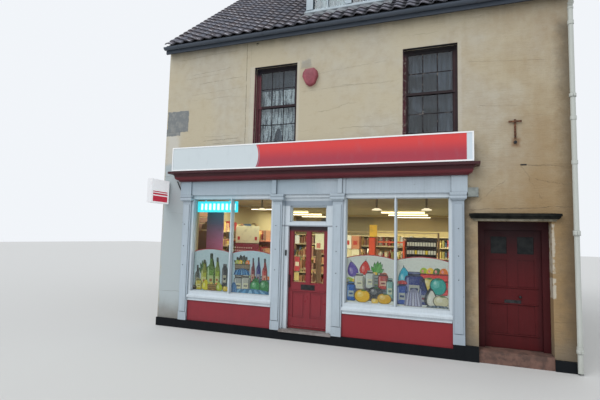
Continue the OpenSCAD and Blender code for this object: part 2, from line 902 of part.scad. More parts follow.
module panel_cut(x, z, w, h, front, deep) {
    translate([x, front - cut, z]) cube([w, cut + deep, h]);
}

module shop_door() {
    panel_z = leaf_z + 210;
    panel_h = 480;
    raised = 40;
    color("darkred") on_front() difference() {
        translate([leaf_x, leaf_in, leaf_z]) cube([leaf_w, leaf_t, leaf_h]);
        for (x = pane_xs) {
            translate([x, leaf_in - cut, pane_z]) cube([pane_w, leaf_t + 2 * cut, pane_h]);
            translate([x - 12, leaf_in - cut, pane_z - 12]) cube([pane_w + 24, cut + 10, pane_h + 24]);
            difference() {
                panel_cut(x, panel_z, pane_w, panel_h, leaf_in, 12);
                translate([x + raised, leaf_in + 4, panel_z + raised])
                    cube([pane_w - 2 * raised, leaf_t, panel_h - 2 * raised]);
            }
        }
    }
}

module shop_door_glass() {
    color("lightblue") on_front() for (x = pane_xs)
        translate([x, leaf_in + 18, pane_z]) cube([pane_w, 6, pane_h]);
}

// Letter plate, keyhole plate, pull and the door's half of the hinges
module shop_door_fittings() {
    plate_w = 280;
    plate_h = 95;
    plate_z = leaf_z + 748;
    color("dimgray") on_front() {
        translate([leaf_x + (leaf_w - plate_w) / 2, leaf_in - 8, plate_z]) cube([plate_w, 8, plate_h]);
        translate([leaf_x + (leaf_w - plate_w) / 2 + 35, leaf_in - 13, plate_z + 25])
            cube([plate_w - 70, 5, plate_h - 50]);
        translate([leaf_x + 45, leaf_in, leaf_z + 800]) {
            rotate([90, 0, 0]) cylinder(h = 30, r = 9, $fn = 32);
            translate([0, 0, 200]) rotate([90, 0, 0]) cylinder(h = 30, r = 9, $fn = 32);
            translate([0, -30, -20]) cylinder(h = 240, r = 9, $fn = 32);
        }
        leaf_hinges(leaf_x + leaf_w + door_gap / 2, leaf_back, leaf_z);
    }
}

module side_door_frame() {
    stop_d = 60;
    rebate_h = side_leaf_h + 2 * door_gap + cut;
    color("darkred") on_front() {
        difference() {
            translate([side_left, side_in - stop_d, floor_z])
                cube([side_w, leaf_t + stop_d, side_head_z - floor_z]);
            // Opening between the stops
            translate([side_leaf_x + stop_lap, side_in - stop_d - cut, floor_z - cut])
                cube([side_leaf_w - 2 * stop_lap, leaf_t + stop_d + 2 * cut, rebate_h - stop_lap]);
            // Rebate that the door closes into
            translate([side_leaf_x - door_gap, side_in - door_gap, floor_z - cut])
                cube([side_leaf_w + 2 * door_gap, leaf_t + door_gap + cut, rebate_h]);
        }
        frame_hinges(side_leaf_x + side_leaf_w + door_gap / 2, side_back, side_z);
    }
}

// Side door panes: two small lights at the top
side_pane_w = 250;
side_pane_h = 290;
side_stile = 120;
side_panels = [[220, 500], [1010, 460]];
side_pane_z = side_z + side_leaf_h - side_stile - side_pane_h;
side_pane_xs = [side_leaf_x + side_stile, side_leaf_x + side_leaf_w - side_stile - side_pane_w];

module side_door() {
    color("darkred") on_front() difference() {
        translate([side_leaf_x, side_in, side_z]) cube([side_leaf_w, leaf_t, side_leaf_h]);
        for (x = side_pane_xs) {
            translate([x, side_in - cut, side_pane_z]) cube([side_pane_w, leaf_t + 2 * cut, side_pane_h]);
            for (p = side_panels) panel_cut(x, side_z + p[0], side_pane_w, p[1], side_in, 10);
        }
    }
}

module side_door_glass() {
    color("lightblue") on_front() for (x = side_pane_xs)
        translate([x, side_in + 18, side_pane_z]) cube([side_pane_w, 6, side_pane_h]);
}

module side_door_fittings() {
    plate_w = 250;
    plate_h = 60;
    plate_t = 6;
    plate_z = 740;
    knob_in = 560;
    knob_z = 860;
    knob_neck = 35;
    color("dimgray") on_front() {
        translate([side_leaf_x + (side_leaf_w - plate_w) / 2, side_in - plate_t, side_z + plate_z])
            cube([plate_w, plate_t, plate_h]);
        translate([side_leaf_x + knob_in, side_in, side_z + knob_z]) rotate([90, 0, 0]) {
            cylinder(h = knob_neck, r = 10, $fn = 32);
            translate([0, 0, knob_neck + 10]) sphere(r = 24, $fn = 32);
        }
        leaf_hinges(side_leaf_x + side_leaf_w + door_gap / 2, side_back, side_z);
    }
}

// Weathered stone hood with returned ends
module door_hood() {
    core = 15;
    over = 40;
    z0 = side_head_z;
    r = hood_h - 75;
    outline = concat(
        [[0, z0], [25, z0], [25, z0 + 25]],
        arc(25, z0 + 25 + r, r, -90, 0, 6),
        [[hood_out - core, z0 + 25 + r], [hood_out - core, z0 + hood_h - 12], [0, z0 + hood_h]]
    );
    color("gray") on_front()
        returned_moulding(side_left - over, side_right + over, -core, 0, outline);
}

// Box frame, sill and two sashes of one window, in the window's own place
module sash_window() {
    upper_in = 22;
    lower_in = 50;
    back_in = 74;
    bead = 12;
    sill_reach = 70;
    sill_fall = 22;
    difference() {
        translate([0, sash_in, 0]) cube([sash_w, sash_d, sash_h]);
        // Upper sash stands forward, lower sash behind it
        translate([sash_frame, sash_in - cut, sash_foot]) {
            cube([sash_w - 2 * sash_frame, cut + upper_in, 2 * sash_half]);
            cube([sash_w - 2 * sash_frame, cut + lower_in, sash_half - sash_rail / 2]);
        }
        translate([sash_frame + sash_rail, sash_in - cut, upper_pane_z])
            cube([sash_pane_w, sash_d + 2 * cut, upper_pane_h]);
        translate([sash_frame + sash_rail, sash_in - cut, lower_pane_z])
            cube([sash_pane_w, sash_d + 2 * cut, lower_pane_h]);
        translate([sash_frame + bead, sash_in + back_in, upper_pane_z])
            cube([sash_w - 2 * sash_frame - 2 * bead, sash_d, upper_pane_h + sash_rail]);
    }
    along_x(0, sash_w) polygon([
        [sash_in, 0], [sash_in, sash_foot],
        [sash_in - sill_reach, sash_foot - sill_fall], [sash_in - sill_reach, 0]
    ]);
}

module all_sashes() {
    on_front() for (x = sash_xs) translate([x, 0, sash_z]) children();
    on_rear() for (x = sash_xs, z = [sash_z, rear_sash_z]) translate([x, 0, z]) children();
}

module sash_frames() {
    color("saddlebrown") all_sashes() sash_window();
}

// Thickness of the upper glass, and its depth behind the face of a sash frame
thin_glass = 4;
upper_glass_in = 34;
lower_glass_in = 62;
dormer_glass_in = 40;

module sash_panes() {
    translate([sash_frame + sash_rail, sash_in + upper_glass_in, upper_pane_z])
        cube([sash_pane_w, thin_glass, upper_pane_h]);
    translate([sash_frame + sash_rail, sash_in + lower_glass_in, lower_pane_z])
        cube([sash_pane_w, thin_glass, lower_pane_h]);
}

module window_glass() {
    color("lightblue") {
        all_sashes() sash_panes();
        on_front() for (x = dormer_pane_xs)
            translate([x, dormer_in + dormer_glass_in, dormer_pane_z])
                cube([dormer_pane_w, thin_glass, dormer_pane_h]);
    }
}

module curtains() {
    hang = 30;
    gap = 25;
    color("ivory") on_front() {
        for (x = sash_xs) translate([x + seat, sash_in + sash_d + gap, sash_z + gap])
            cube([sash_w - 2 * seat, hang, sash_h - gap - seat]);
        translate([dormer_x + dormer_t + seat, dormer_in + dormer_t + gap, dormer_pane_z])
            cube([dormer_w - 2 * dormer_t - 2 * seat, hang, dormer_top - dormer_pane_z - seat]);
    }
}

// Flat top, sloping shoulders and a rounded foot
module alarm_outline() {
    w = alarm_w / 2;
    h = alarm_h / 2;
    foot_r = alarm_w * 0.16;
    polygon(concat(
        [[w * 0.56, h], [w * 0.95, h * 0.34], [w, h * 0.18], [w * 0.93, -h * 0.02]],
        arc(0, foot_r - h, foot_r, -30, -150, 8),
        [[-w * 0.93, -h * 0.02], [-w, h * 0.18], [-w * 0.95, h * 0.34], [-w * 0.56, h]]
    ));
}

module alarm_box() {
    alarm_d = 95;
    bevel = 18;
    color("red") on_front() translate([alarm_x, 0, alarm_z]) rotate([90, 0, 0]) {
        linear_extrude(alarm_d - bevel) alarm_outline();
        translate([0, 0, alarm_d - bevel]) linear_extrude(bevel, scale = 0.86) alarm_outline();
    }
}

module meter_box() {
    box_w = 170;
    box_h = 160;
    box_d = 70;
    lid_t = 6;
    lid_in = 8;
    color("silver") on_front() translate([shop_right + frieze_over, -box_d, head_z - box_h / 2]) {
        cube([box_w, box_d, box_h]);
        translate([lid_in, -lid_t, lid_in]) cube([box_w - 2 * lid_in, lid_t, box_h - 2 * lid_in]);
    }
}

// Cross-shaped iron left in the wall over the side doorway
module iron_bracket() {
    iron_x = side_left + 590;
    iron_z = 3690;
    bar = 30;
    bar_t = 22;
    bar_h = 330;
    arm_w = 200;
    arm_t = 12;
    arm_z = 275;
    pin_z = 60;
    color("sienna") on_front() translate([iron_x, -bar_t, iron_z]) {
        translate([-bar / 2, 0, 0]) cube([bar, bar_t, bar_h]);
        translate([-arm_w / 2, -arm_t, arm_z]) cube([arm_w, arm_t, bar]);
        translate([0, 0, pin_z]) rotate([90, 0, 0]) cylinder(h = 70, r = 11, $fn = 24);
    }
}

module projecting_sign() {
    flag_x = 65;
    flag_t = 110;
    flag_z = 2610;
    stand_off = 40;
    color("white") on_front() {
        translate([flag_x, -stand_off - flag_reach, flag_z]) cube([flag_t, flag_reach, flag_h]);
        for (z = [0.15, 0.8]) translate([flag_x + flag_t / 2 - 15, -stand_off, flag_z + z * flag_h])
            cube([30, stand_off, 30]);
    }
}

// Lit sign on two hooks that reach up the back of the window head
module window_sign() {
    led_t = 22;
    led_drop = 30;
    led_gap = 8;
    hook_w = 10;
    led_x = bay_xs[0] + frame_w + hook_w;
    led_z = window_top - led_drop - led_h;
    hook_z = led_z + led_h - 3 * hook_w;
    color("cyan") on_front() {
        translate([led_x, frame_d + led_gap, led_z]) cube([led_w, led_t, led_h]);
        for (share = [0.2, 0.8]) translate([led_x + share * led_w, frame_d, hook_z])
            cube([hook_w, led_gap + led_t / 2, window_top - hook_z + 2 * hook_w]);
    }
}

// Gaps from the tube lights to the rear and left walls, and their overlap with the door bay
tube_rear_gap = 160;
tube_side_gap = 370;
tube_lap = 35;
// Places of the bell lamps behind the front wall and along the two bays
lamp_wall_gap = 300;
lamp_left_in = 1320;
lamp_mid_in = 500;
lamp_right_in = 1460;

// Bell lamp on a short stem, drawn from its rim down at its place on the ceiling
module bell_lamp() {
    stem_r = 20;
    bell_h = 110;
    lamp_h = 250;
    lamp_r = lamp_d / 2;
    lip_h = 8;
    shoulder_h = 20;
    translate([0, 0, -lamp_h]) rotate_extrude($fn = 48) polygon(concat(
        [[0, 0], [lamp_r, 0], [lamp_r, lip_h]],
        arc(lamp_r, bell_h, bell_h - shoulder_h, -100, -160, 6),
        [[stem_r, bell_h], [stem_r, lamp_h], [0, lamp_h]]
    ));
}

// Tube lights in rows counted from the rear wall, and three bell lamps by the windows
module ceiling_lights() {
    body_w = 90;
    body_h = 90;
    far_row = house_d - wall_t - body_w - tube_rear_gap;
    tube_xs = [party_t + tube_side_gap, bay_xs[1] - tube_lap];
    lamp_xs = [bay_xs[0] + lamp_left_in, bay_xs[1] + lamp_mid_in, bay_xs[1] + lamp_right_in];
    color("white") on_front() {
        for (row = [light_rows - 1 : -1 : 0], side = row == light_rows - 1 ? [0] : [0, 1])
            translate([tube_xs[side], far_row - row * row_step, ceiling_z - body_h])
                cube([tube_w, body_w, body_h]);
        for (x = lamp_xs) translate([x, wall_t + lamp_wall_gap, ceiling_z]) bell_lamp();
    }
}

// Places of the shelf units: left, front, width, depth, height, number of boards, runs along the depth
shelf_end_t = 30;
shelf_board_t = 25;
aisle = 200;
back_w = floor((inner_w - 2 * aisle) / shelf_bay) * shelf_bay;
gondola_y = house_d / 2 - 100;
shelf_units = [
    [party_t + aisle, house_d - wall_t - shelf_d, back_w, shelf_d, shelf_h, 6, false],
    [party_t, wall_t + shelf_d, shelf_d, 3 * shelf_bay, shelf_h, 6, true],
    [bay_xs[0] + 700, gondola_y, shelf_bay, shelf_d, gondola_h, 6, false],
    [door_bay_x + lap, gondola_y, 3 * shelf_bay, shelf_d, gondola_h, 6, false]
];

module shelf_ends() {
    color("gainsboro") on_front() for (u = shelf_units, far = [0, 1]) {
        if (u[6]) translate([u[0], u[1] + far * (u[3] - shelf_end_t), floor_z])
            cube([u[2], shelf_end_t, u[4]]);
        else translate([u[0] + far * (u[2] - shelf_end_t), u[1], floor_z])
            cube([shelf_end_t, u[3], u[4]]);
    }
}

module shelf_boards() {
    kick = 80;
    color("gainsboro") on_front() for (u = shelf_units, i = [0 : u[5] - 1]) {
        z = floor_z + kick + i * (u[4] - kick - shelf_board_t) / (u[5] - 1);
        if (u[6]) translate([u[0], u[1] + shelf_end_t, z])
            cube([u[2], u[3] - 2 * shelf_end_t, shelf_board_t]);
        else translate([u[0] + shelf_end_t, u[1], z])
            cube([u[2] - 2 * shelf_end_t, u[3], shelf_board_t]);
    }
}

left_party_wall();
right_party_wall();
front_wall();
front_piers();
side_door_head();
rear_wall();
ground_floor();
first_floor();
attic_floor();
roof_front();
roof_rear();
tiles_front();
tiles_rear();
ridge();
eaves_boards();
gutters();
downpipes();
dormer_cheeks();
dormer_window();
dormer_roof();
plinth();
door_steps();
stallrisers();
shop_sills();
shop_window_frames();
shopfront_glass();
pilasters();
frieze();
cornice();
sign_box();
sign_face();
shop_door_frame();
shop_door();
shop_door_glass();
shop_door_fittings();
side_door_frame();
side_door();
side_door_glass();
side_door_fittings();
door_hood();
sash_frames();
window_glass();
curtains();
alarm_box();
meter_box();
iron_bracket();
projecting_sign();
window_sign();
ceiling_lights();
shelf_ends();
shelf_boards();
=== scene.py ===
import math
import random
from types import SimpleNamespace

import bmesh
import bpy
from mathutils import Matrix, Vector, noise as wander


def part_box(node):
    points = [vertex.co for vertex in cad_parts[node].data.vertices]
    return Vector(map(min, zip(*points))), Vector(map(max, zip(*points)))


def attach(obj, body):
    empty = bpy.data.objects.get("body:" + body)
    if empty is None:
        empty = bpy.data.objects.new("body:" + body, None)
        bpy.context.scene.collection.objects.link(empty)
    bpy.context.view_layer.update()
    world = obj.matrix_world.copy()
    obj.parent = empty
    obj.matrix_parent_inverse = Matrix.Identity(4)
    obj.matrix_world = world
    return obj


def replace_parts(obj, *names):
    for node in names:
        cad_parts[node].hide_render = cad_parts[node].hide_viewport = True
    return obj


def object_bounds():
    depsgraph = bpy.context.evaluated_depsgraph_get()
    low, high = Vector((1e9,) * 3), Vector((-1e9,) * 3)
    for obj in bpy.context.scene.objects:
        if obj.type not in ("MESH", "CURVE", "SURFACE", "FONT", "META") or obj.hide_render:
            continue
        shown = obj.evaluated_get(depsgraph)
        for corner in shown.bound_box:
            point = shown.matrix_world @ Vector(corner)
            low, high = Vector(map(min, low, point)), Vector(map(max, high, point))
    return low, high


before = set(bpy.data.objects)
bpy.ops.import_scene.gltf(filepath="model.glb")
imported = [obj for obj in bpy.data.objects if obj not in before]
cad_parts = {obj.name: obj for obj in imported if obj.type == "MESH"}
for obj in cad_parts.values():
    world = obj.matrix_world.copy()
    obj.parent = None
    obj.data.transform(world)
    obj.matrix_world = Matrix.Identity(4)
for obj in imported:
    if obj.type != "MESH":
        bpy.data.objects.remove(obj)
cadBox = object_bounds()
print("frame loaded:", len(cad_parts), "nodes")

# The house is measured along its front: across from the left party line, deep from the wall face,
# high from the ground
wallLow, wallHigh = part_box("left_party_wall")
leftLine, frontFace = wallLow.x, wallLow.y
houseDepth = wallHigh.y - wallLow.y
houseWidth = cadBox[1][0] - cadBox[0][0]


def spot(across, deep, high):
    return Vector((leftLine + across, frontFace + deep, high))


def nodeBox(name):
    low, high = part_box(name)
    shift = Vector((leftLine, frontFace, 0))
    return low - shift, high - shift


def inScene(name, data):
    thing = bpy.data.objects.new(name, data)
    bpy.context.scene.collection.objects.link(thing)
    return thing


# Camera

cameraSettings = {
    "across": 6.105, "deep": -7.742, "high": 1.999,
    "yaw": 20.33, "pitch": 4.78, "roll": 1.42,
    "lens": 25.42, "sensor": 36,
}


def addCamera(s):
    data = bpy.data.cameras.new("streetView")
    data.lens, data.sensor_width = s["lens"], s["sensor"]
    camera = inScene("streetView", data)
    camera.matrix_world = Matrix.Translation(spot(s["across"], s["deep"], s["high"]))
    for angle, axis in ((s["yaw"], "Z"), (90 + s["pitch"], "X"), (s["roll"], "Z")):
        camera.matrix_world = camera.matrix_world @ Matrix.Rotation(math.radians(angle), 4, axis)
    bpy.context.scene.camera = camera


addCamera(cameraSettings)
print("camera placed")


# Node helpers, shared by materials and geometry trees

def treeOf(values):
    return next(v.tree for v in values if isinstance(v, Wire))


def reckon(operation):
    return lambda *values: addNode(treeOf(values), "ShaderNodeMath", dict(enumerate(values)), operation=operation)


larger, sine, cosine, fraction, pingPong = map(reckon, ("MAXIMUM", "SINE", "COSINE", "FRACT", "PINGPONG"))


class Wire:
    # An output of a node, so that the trees below are written as plain sums
    __add__, __sub__, __mul__, __truediv__ = map(reckon, ("ADD", "SUBTRACT", "MULTIPLY", "DIVIDE"))
    __lt__, __gt__, __abs__ = map(reckon, ("LESS_THAN", "GREATER_THAN", "ABSOLUTE"))

    def __init__(self, socket):
        self.socket = socket
        self.tree = socket.id_data

    def __rsub__(self, other):
        return reckon("SUBTRACT")(other, self)


def addNode(tree, kind, inputs=None, out=0, **settings):
    # Feeds a new node with wires and plain values, and gives one of its outputs, or the node itself.
    # A kind without Node in its name is of the tree's own family
    node = tree.nodes.new(kind if "Node" in kind else tree.bl_idname[:-4] + kind)
    for key, value in settings.items():
        setattr(node, key, value)
    for key, value in (inputs or {}).items():
        feed(tree, node.inputs[key], value)
    return node if out is None else Wire(node.outputs[out])


def feed(tree, socket, value):
    if isinstance(value, Wire):
        tree.links.new(value.socket, socket)
    else:
        socket.default_value = value


def between(value, low, high, start=0.0, end=1.0):
    return addNode(value.tree, "ShaderNodeMapRange", {0: value, 1: low, 2: high, 3: start, 4: end},
                   interpolation_type="SMOOTHSTEP")


def split(wire):
    node = addNode(wire.tree, "ShaderNodeSeparateXYZ", {0: wire}, None)
    return [Wire(output) for output in node.outputs]


def joined(x, y, z):
    return addNode(treeOf((x, y, z)), "ShaderNodeCombineXYZ", {0: x, 1: y, 2: z})


def linear(colour):
    # Colours are written as 0 to 255 screen values
    return tuple(((c / 255 + 0.055) / 1.055) ** 2.4 if c > 10 else c / 3294.6 for c in colour)


def mixed(share, first, second, way="MIX"):
    first, second = (v if isinstance(v, Wire) else (*linear(v), 1) for v in (first, second))
    return addNode(treeOf((share, first, second)), "Mix", {0: share, 6: first, 7: second}, 2,
                   data_type="RGBA", blend_type=way)


def inBox(x, z, box, soft, ragged=0.0, grain=None):
    # 1 inside the box on the front, with an edge that a noise makes ragged
    left, right, low, high = box
    edge = larger(abs(x - (left + right) / 2) - (right - left) / 2, abs(z - (low + high) / 2) - (high - low) / 2)
    if ragged:
        edge = (grain - 0.5) * ragged + edge
    return between(edge, soft, -soft)


def alongLine(x, z, start, end, sway, width):
    # 1 on a wavering line from start to end, whichever way it runs
    steep = abs(end[1] - start[1]) > abs(end[0] - start[0])
    along, across = (z, x) if steep else (x, z)
    a, b = ((start[1], start[0]), (end[1], end[0])) if steep else (start, end)
    share = addNode(x.tree, "ShaderNodeMapRange", {0: along, 1: a[0], 2: b[0], 3: a[1], 4: b[1]}, clamp=True)
    low, high = sorted((a[0], b[0]))
    inside = between(along, low - 0.01, low + 0.05) * between(along, high + 0.01, high - 0.05)
    return between(abs(across - share - sway), width, width * 0.25) * inside


class Surface:
    # A material in the making: each coat of colour goes over the ones before it
    def __init__(self, name, rough, gloss=0.5):
        self.material = bpy.data.materials.new(name)
        self.material.use_nodes = True
        self.tree = self.material.node_tree
        self.tree.nodes.clear()
        self.shader = addNode(self.tree, "BsdfPrincipled", {"Roughness": rough}, None)
        self.output = self.tree.nodes.new("ShaderNodeOutputMaterial")
        self.show(Wire(self.shader.outputs[0]))
        self.feed("Specular IOR Level", gloss)
        # The surface point in house measure
        self.x, self.y, self.z = split(self.place((1, 1, 1), (-leftLine, -frontFace, 0)))
        self.colour = None

    def place(self, stretch, move=(0, 0, 0)):
        point = addNode(self.tree, "TexCoord", out="Object")
        return addNode(self.tree, "Mapping", {"Vector": point, "Scale": stretch, "Location": move})

    def noise(self, scale, detail=4, rough=0.6, stretch=(1, 1, 1), move=(0, 0, 0)):
        return addNode(self.tree, "TexNoise", {
            "Vector": self.place(stretch, move), "Scale": scale, "Detail": detail, "Roughness": rough}, "Fac")

    def cells(self, stretch, scale, loose):
        return addNode(self.tree, "TexVoronoi", {
            "Vector": self.place(stretch), "Scale": scale, "Randomness": loose}, "Distance")

    def stored(self, name, out="Fac"):
        return addNode(self.tree, "Attribute", out=out, attribute_name=name, attribute_type="GEOMETRY")

    def sideways(self):
        # 1 where the surface faces along the front, 0 where it faces the street
        return abs(split(addNode(self.tree, "NewGeometry", out="Normal"))[0])

    def crevice(self, reach):
        # 1 in corners and open joints, 0 out in the open
        clear = addNode(self.tree, "AmbientOcclusion", {"Distance": reach}, "AO", samples=6)
        return between(clear, 0.8, 0.25)

    def arris(self, reach):
        # 1 along outer edges, where a rounded normal leaves the true one
        rounded = addNode(self.tree, "Bevel", {"Radius": reach}, samples=4)
        flat = addNode(self.tree, "NewGeometry", out="Normal")
        level = addNode(self.tree, "VectorMath", {0: rounded, 1: flat}, "Value", operation="DOT_PRODUCT")
        return between(level, 0.985, 0.9)

    def coat(self, share, colour, way="MIX"):
        self.colour = mixed(share, self.colour, colour, way)

    def feed(self, label, value):
        feed(self.tree, self.shader.inputs[label], value)

    def show(self, wire):
        feed(self.tree, self.output.inputs[0], wire)

    def glow(self, colour, strength):
        self.feed("Emission Color", colour)
        self.feed("Emission Strength", strength)

    def done(self, height=None, strength=0.4, depth=0.01):
        self.feed("Base Color", self.colour)
        if height:
            self.feed("Normal", addNode(self.tree, "Bump", {
                "Height": height, "Strength": strength, "Distance": depth}))
        return self.material


def dress(names, material):
    for name in names.split():
        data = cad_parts[name].data
        data.materials.clear()
        data.materials.append(material)


# Mesh helpers

def boxIn(bm, left, right, front, back, low, high, bevel=0.0, ink=None):
    # A chamfered block between its sides, given in house measure
    a, b = spot(left, front, low), spot(right, back, high)
    verts = bmesh.ops.create_cube(
        bm, size=1.0, matrix=Matrix.Translation((a + b) / 2) @ Matrix.Diagonal((*(b - a), 1)))["verts"]
    if bevel:
        edges = list({e for v in verts for e in v.link_edges})
        verts = bmesh.ops.bevel(bm, geom=edges, offset=bevel, segments=1, affect="EDGES", profile=0.5)["verts"]
    if ink is not None:
        inked(bm, verts, ink)
    return verts


def inked(bm, verts, colour):
    layer = bm.verts.layers.float_color["ink"]
    for v in verts:
        v[layer] = (*linear(colour), 1)


def inkedMesh():
    bm = bmesh.new()
    bm.verts.layers.float_color.new("ink")
    return bm


def rod(bm, radius, sides, *points):
    # A round bar through the points, closed at both ends
    points = [spot(*p) for p in points]
    rings = []
    for index, point in enumerate(points):
        ahead = points[min(index + 1, len(points) - 1)] - points[max(index - 1, 0)]
        turn = ahead.to_track_quat("Z", "Y")
        rings.append([bm.verts.new(point + turn @ Vector((
            radius * math.cos(a * math.tau / sides), radius * math.sin(a * math.tau / sides), 0)))
            for a in range(sides)])
    closeRings(bm, rings)


def closeRings(bm, rings):
    count = len(rings[0])
    for first, second in zip(rings, rings[1:]):
        for a in range(count):
            b = (a + 1) % count
            bm.faces.new((first[a], first[b], second[b], second[a]))
    bm.faces.new(list(reversed(rings[0])))
    bm.faces.new(rings[-1])


def sheetOf(bm, rows, count, place):
    # One sheet, each point placed by its share of the way along its row and by the row's values
    made = [[bm.verts.new(place(i / count, *row)) for i in range(count + 1)] for row in rows]
    for first, second in zip(made, made[1:]):
        for corners in zip(first, first[1:], second[1:], second):
            bm.faces.new(corners)
    return made


def meshOf(bm, name):
    mesh = bpy.data.meshes.new(name)
    bm.to_mesh(mesh)
    bm.free()
    return bpy.data.objects.new(name, mesh)


def addPiece(name, bm, material, slot, body="building", smooth=False):
    bmesh.ops.recalc_face_normals(bm, faces=bm.faces)
    return settle(meshOf(bm, name), material, slot, body, smooth)


def settle(piece, material, slot, body="building", smooth=False):
    mesh = piece.data
    mesh.materials.clear()
    mesh.materials.append(material)
    for polygon in mesh.polygons:
        polygon.use_smooth = smooth
    if piece.name not in bpy.context.scene.collection.objects:
        bpy.context.scene.collection.objects.link(piece)
    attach(piece, body)
    return piece


def addTrim(name, s):
    # Blocks and rods of one piece, set back from the face of a node where it stands on one
    bm = bmesh.new()
    face = nodeBox(s["on"])[0].y if "on" in s else 0
    for left, right, front, back, low, high, bevel in s["boxes"]:
        boxIn(bm, left, right, face + front, face + back, low, high, bevel)
    for radius, sides, *points in s.get("rods", []):
        rod(bm, radius, sides, *points)
    addPiece(name, bm, paints[s["paint"]], s["slot"], s.get("body", "building"))


# Geometry node helpers

def newTree(name, floats, ints):
    # A tree whose inputs are named as the settings that fill them, and those inputs as wires
    tree = bpy.data.node_groups.new(name, "GeometryNodeTree")
    tree.interface.new_socket("Geometry", in_out="OUTPUT", socket_type="NodeSocketGeometry")
    for kind, labels in (("Float", floats), ("Int", ints), ("Material", "material")):
        for label in labels.split():
            tree.interface.new_socket(label, in_out="INPUT", socket_type="NodeSocket" + kind)
    sockets = tree.nodes.new("NodeGroupInput").outputs
    return tree, SimpleNamespace(**{socket.name: Wire(socket) for socket in sockets})


def closeTree(start, geometry):
    tree = geometry.tree
    solid = addNode(tree, "RealizeInstances", {0: geometry})
    painted = addNode(tree, "SetMaterial", {"Geometry": solid, "Material": start.material})
    tree.links.new(painted.socket, tree.nodes.new("NodeGroupOutput").inputs[0])
    return tree


def unitSheet(tree, columns, rows):
    # A flat grid, with each point's shares of the way along its two sides
    sheet = addNode(tree, "MeshGrid", {"Size X": 1.0, "Size Y": 1.0, "Vertices X": columns, "Vertices Y": rows})
    x, y, _ = split(addNode(tree, "InputPosition"))
    return sheet, x + 0.5, y + 0.5


def moved(geometry, **to):
    return addNode(geometry.tree, "SetPosition", {"Geometry": geometry, **to})


def randomly(tree, low, high, seed):
    return addNode(tree, "FunctionNodeRandomValue", {2: low, 3: high, 8: seed}, 1, data_type="FLOAT")


def togetherIn(*parts):
    node = parts[0].tree.nodes.new("GeometryNodeJoinGeometry")
    for part in parts:
        part.tree.links.new(part.socket, node.inputs[0])
    return Wire(node.outputs[0])


def thickened(sheet, thickness):
    # A sheet raised by its thickness, with its underside closed
    raised = addNode(sheet.tree, "ExtrudeMesh", {"Mesh": sheet, "Offset Scale": thickness, "Individual": False})
    whole = togetherIn(raised, addNode(sheet.tree, "FlipFaces", {0: sheet}))
    return addNode(sheet.tree, "MergeByDistance", {"Geometry": whole, "Distance": 0.0002})


def inRow(count, **line):
    return addNode(count.tree, "MeshLine", {"Count": count, **line})


def copied(points, shape, seed, **more):
    # Copies of a shape, each with its own random number for its material to read
    laid = addNode(points.tree, "InstanceOnPoints", {"Points": points, "Instance": shape, **more})
    return addNode(points.tree, "StoreNamedAttribute", {
        "Geometry": laid, "Name": "tone", "Value": randomly(points.tree, 0.0, 1.0, seed)},
        data_type="FLOAT", domain="INSTANCE")


def grown(tree, name, values, material, place):
    # Runs a tree on an empty holder, with those of the values that it takes, and keeps a plain mesh
    holder = inScene(name, bpy.data.meshes.new(name))
    modifier = holder.modifiers.new(name, "NODES")
    modifier.node_group = tree
    sockets = {s.name: s.identifier for s in tree.interface.items_tree if s.in_out == "INPUT"}
    for label, value in {**values, "material": material}.items():
        if label in sockets:
            modifier[sockets[label]] = value
    graph = bpy.context.evaluated_depsgraph_get()
    mesh = bpy.data.meshes.new_from_object(holder.evaluated_get(graph))
    holder.modifiers.clear()
    holder.data = mesh
    mesh.name = name
    mesh.transform(place)
    return holder


def grownRows(tree, name, rows, material, slot, smooth=False):
    # Several results of one tree become one piece; bmesh keeps their attributes
    bm = bmesh.new()
    for values, place in rows:
        part = grown(tree, name + "Part", values, material, place)
        bm.from_mesh(part.data)
        bpy.data.objects.remove(part)
    settle(meshOf(bm, name), material, slot, smooth=smooth)


def facing(across, deep, high, right=(1, 0, 0), up=(0, 0, 1)):
    # Places a local shape so that its X runs along right and its Y along up
    x, y = Vector(right).normalized(), Vector(up).normalized()
    return Matrix.Translation(spot(across, deep, high)) @ Matrix((x, y, x.cross(y))).transposed().to_4x4()


# Rendered walls

renderSettings = {
    "cream": (188, 178, 154), "pale": (188, 183, 168), "ochre": (146, 118, 78),
    "party": (166, 163, 156), "damp": (112, 104, 92), "crack": (88, 78, 64),
    "shopWall": (188, 170, 128), "roomWall": (150, 142, 128), "bare": (158, 158, 152),
    "cement": (122, 126, 127), "whitewash": (172, 183, 187), "fresh": (200, 198, 190),
    "soot": (74, 66, 56), "rust": (120, 76, 44), "flake": (206, 203, 190),
    "courseStep": 0.415, "ceiling": 2.8,
}
# Old repairs, stains, and paler and darker patches on the front: left, right, low, high, raggedness, softness,
# colour, strength
wallPatches = [
    (0.0, 0.34, 3.3, 4.2, 0.3, 0.1, "fresh", 0.8),
    (0.0, 0.6, 0.0, 3.5, 0.16, 0.05, "whitewash", 0.92),
    (0.02, 0.565, 4.22, 4.69, 0.07, 0.006, "cement", 1.0),
    (0.0, 0.36, 4.14, 4.3, 0.07, 0.006, "cement", 1.0),
    (3.2, 3.4, 5.36, 5.51, 0.16, 0.03, "cement", 0.4),
    # Narrow pale strips beside the sash windows
    (2.05, 2.16, 3.8, 5.5, 0.03, 0.02, "fresh", 0.3),
    (3.11, 3.16, 3.8, 5.5, 0.03, 0.02, "fresh", 0.4),
    (6.14, 6.2, 3.8, 5.5, 0.05, 0.02, "fresh", 0.25),
    (6.98, 7.1, 3.56, 3.7, 0.09, 0.03, "rust", 0.6),
    # Darker bands by the right party line and on the pier beside the side door
    (7.68, 8.0, 0.0, 5.6, 0.25, 0.14, "soot", 0.62),
    (7.1, 7.7, 2.4, 4.2, 0.6, 0.3, "ochre", 0.45),
    (6.1, 6.34, 0.0, 2.75, 0.25, 0.12, "soot", 0.8),
    (7.5, 7.565, 1.5, 2.28, 0.08, 0.01, "flake", 0.55),
    (7.5, 7.575, 1.1, 1.42, 0.06, 0.01, "flake", 0.6),
]
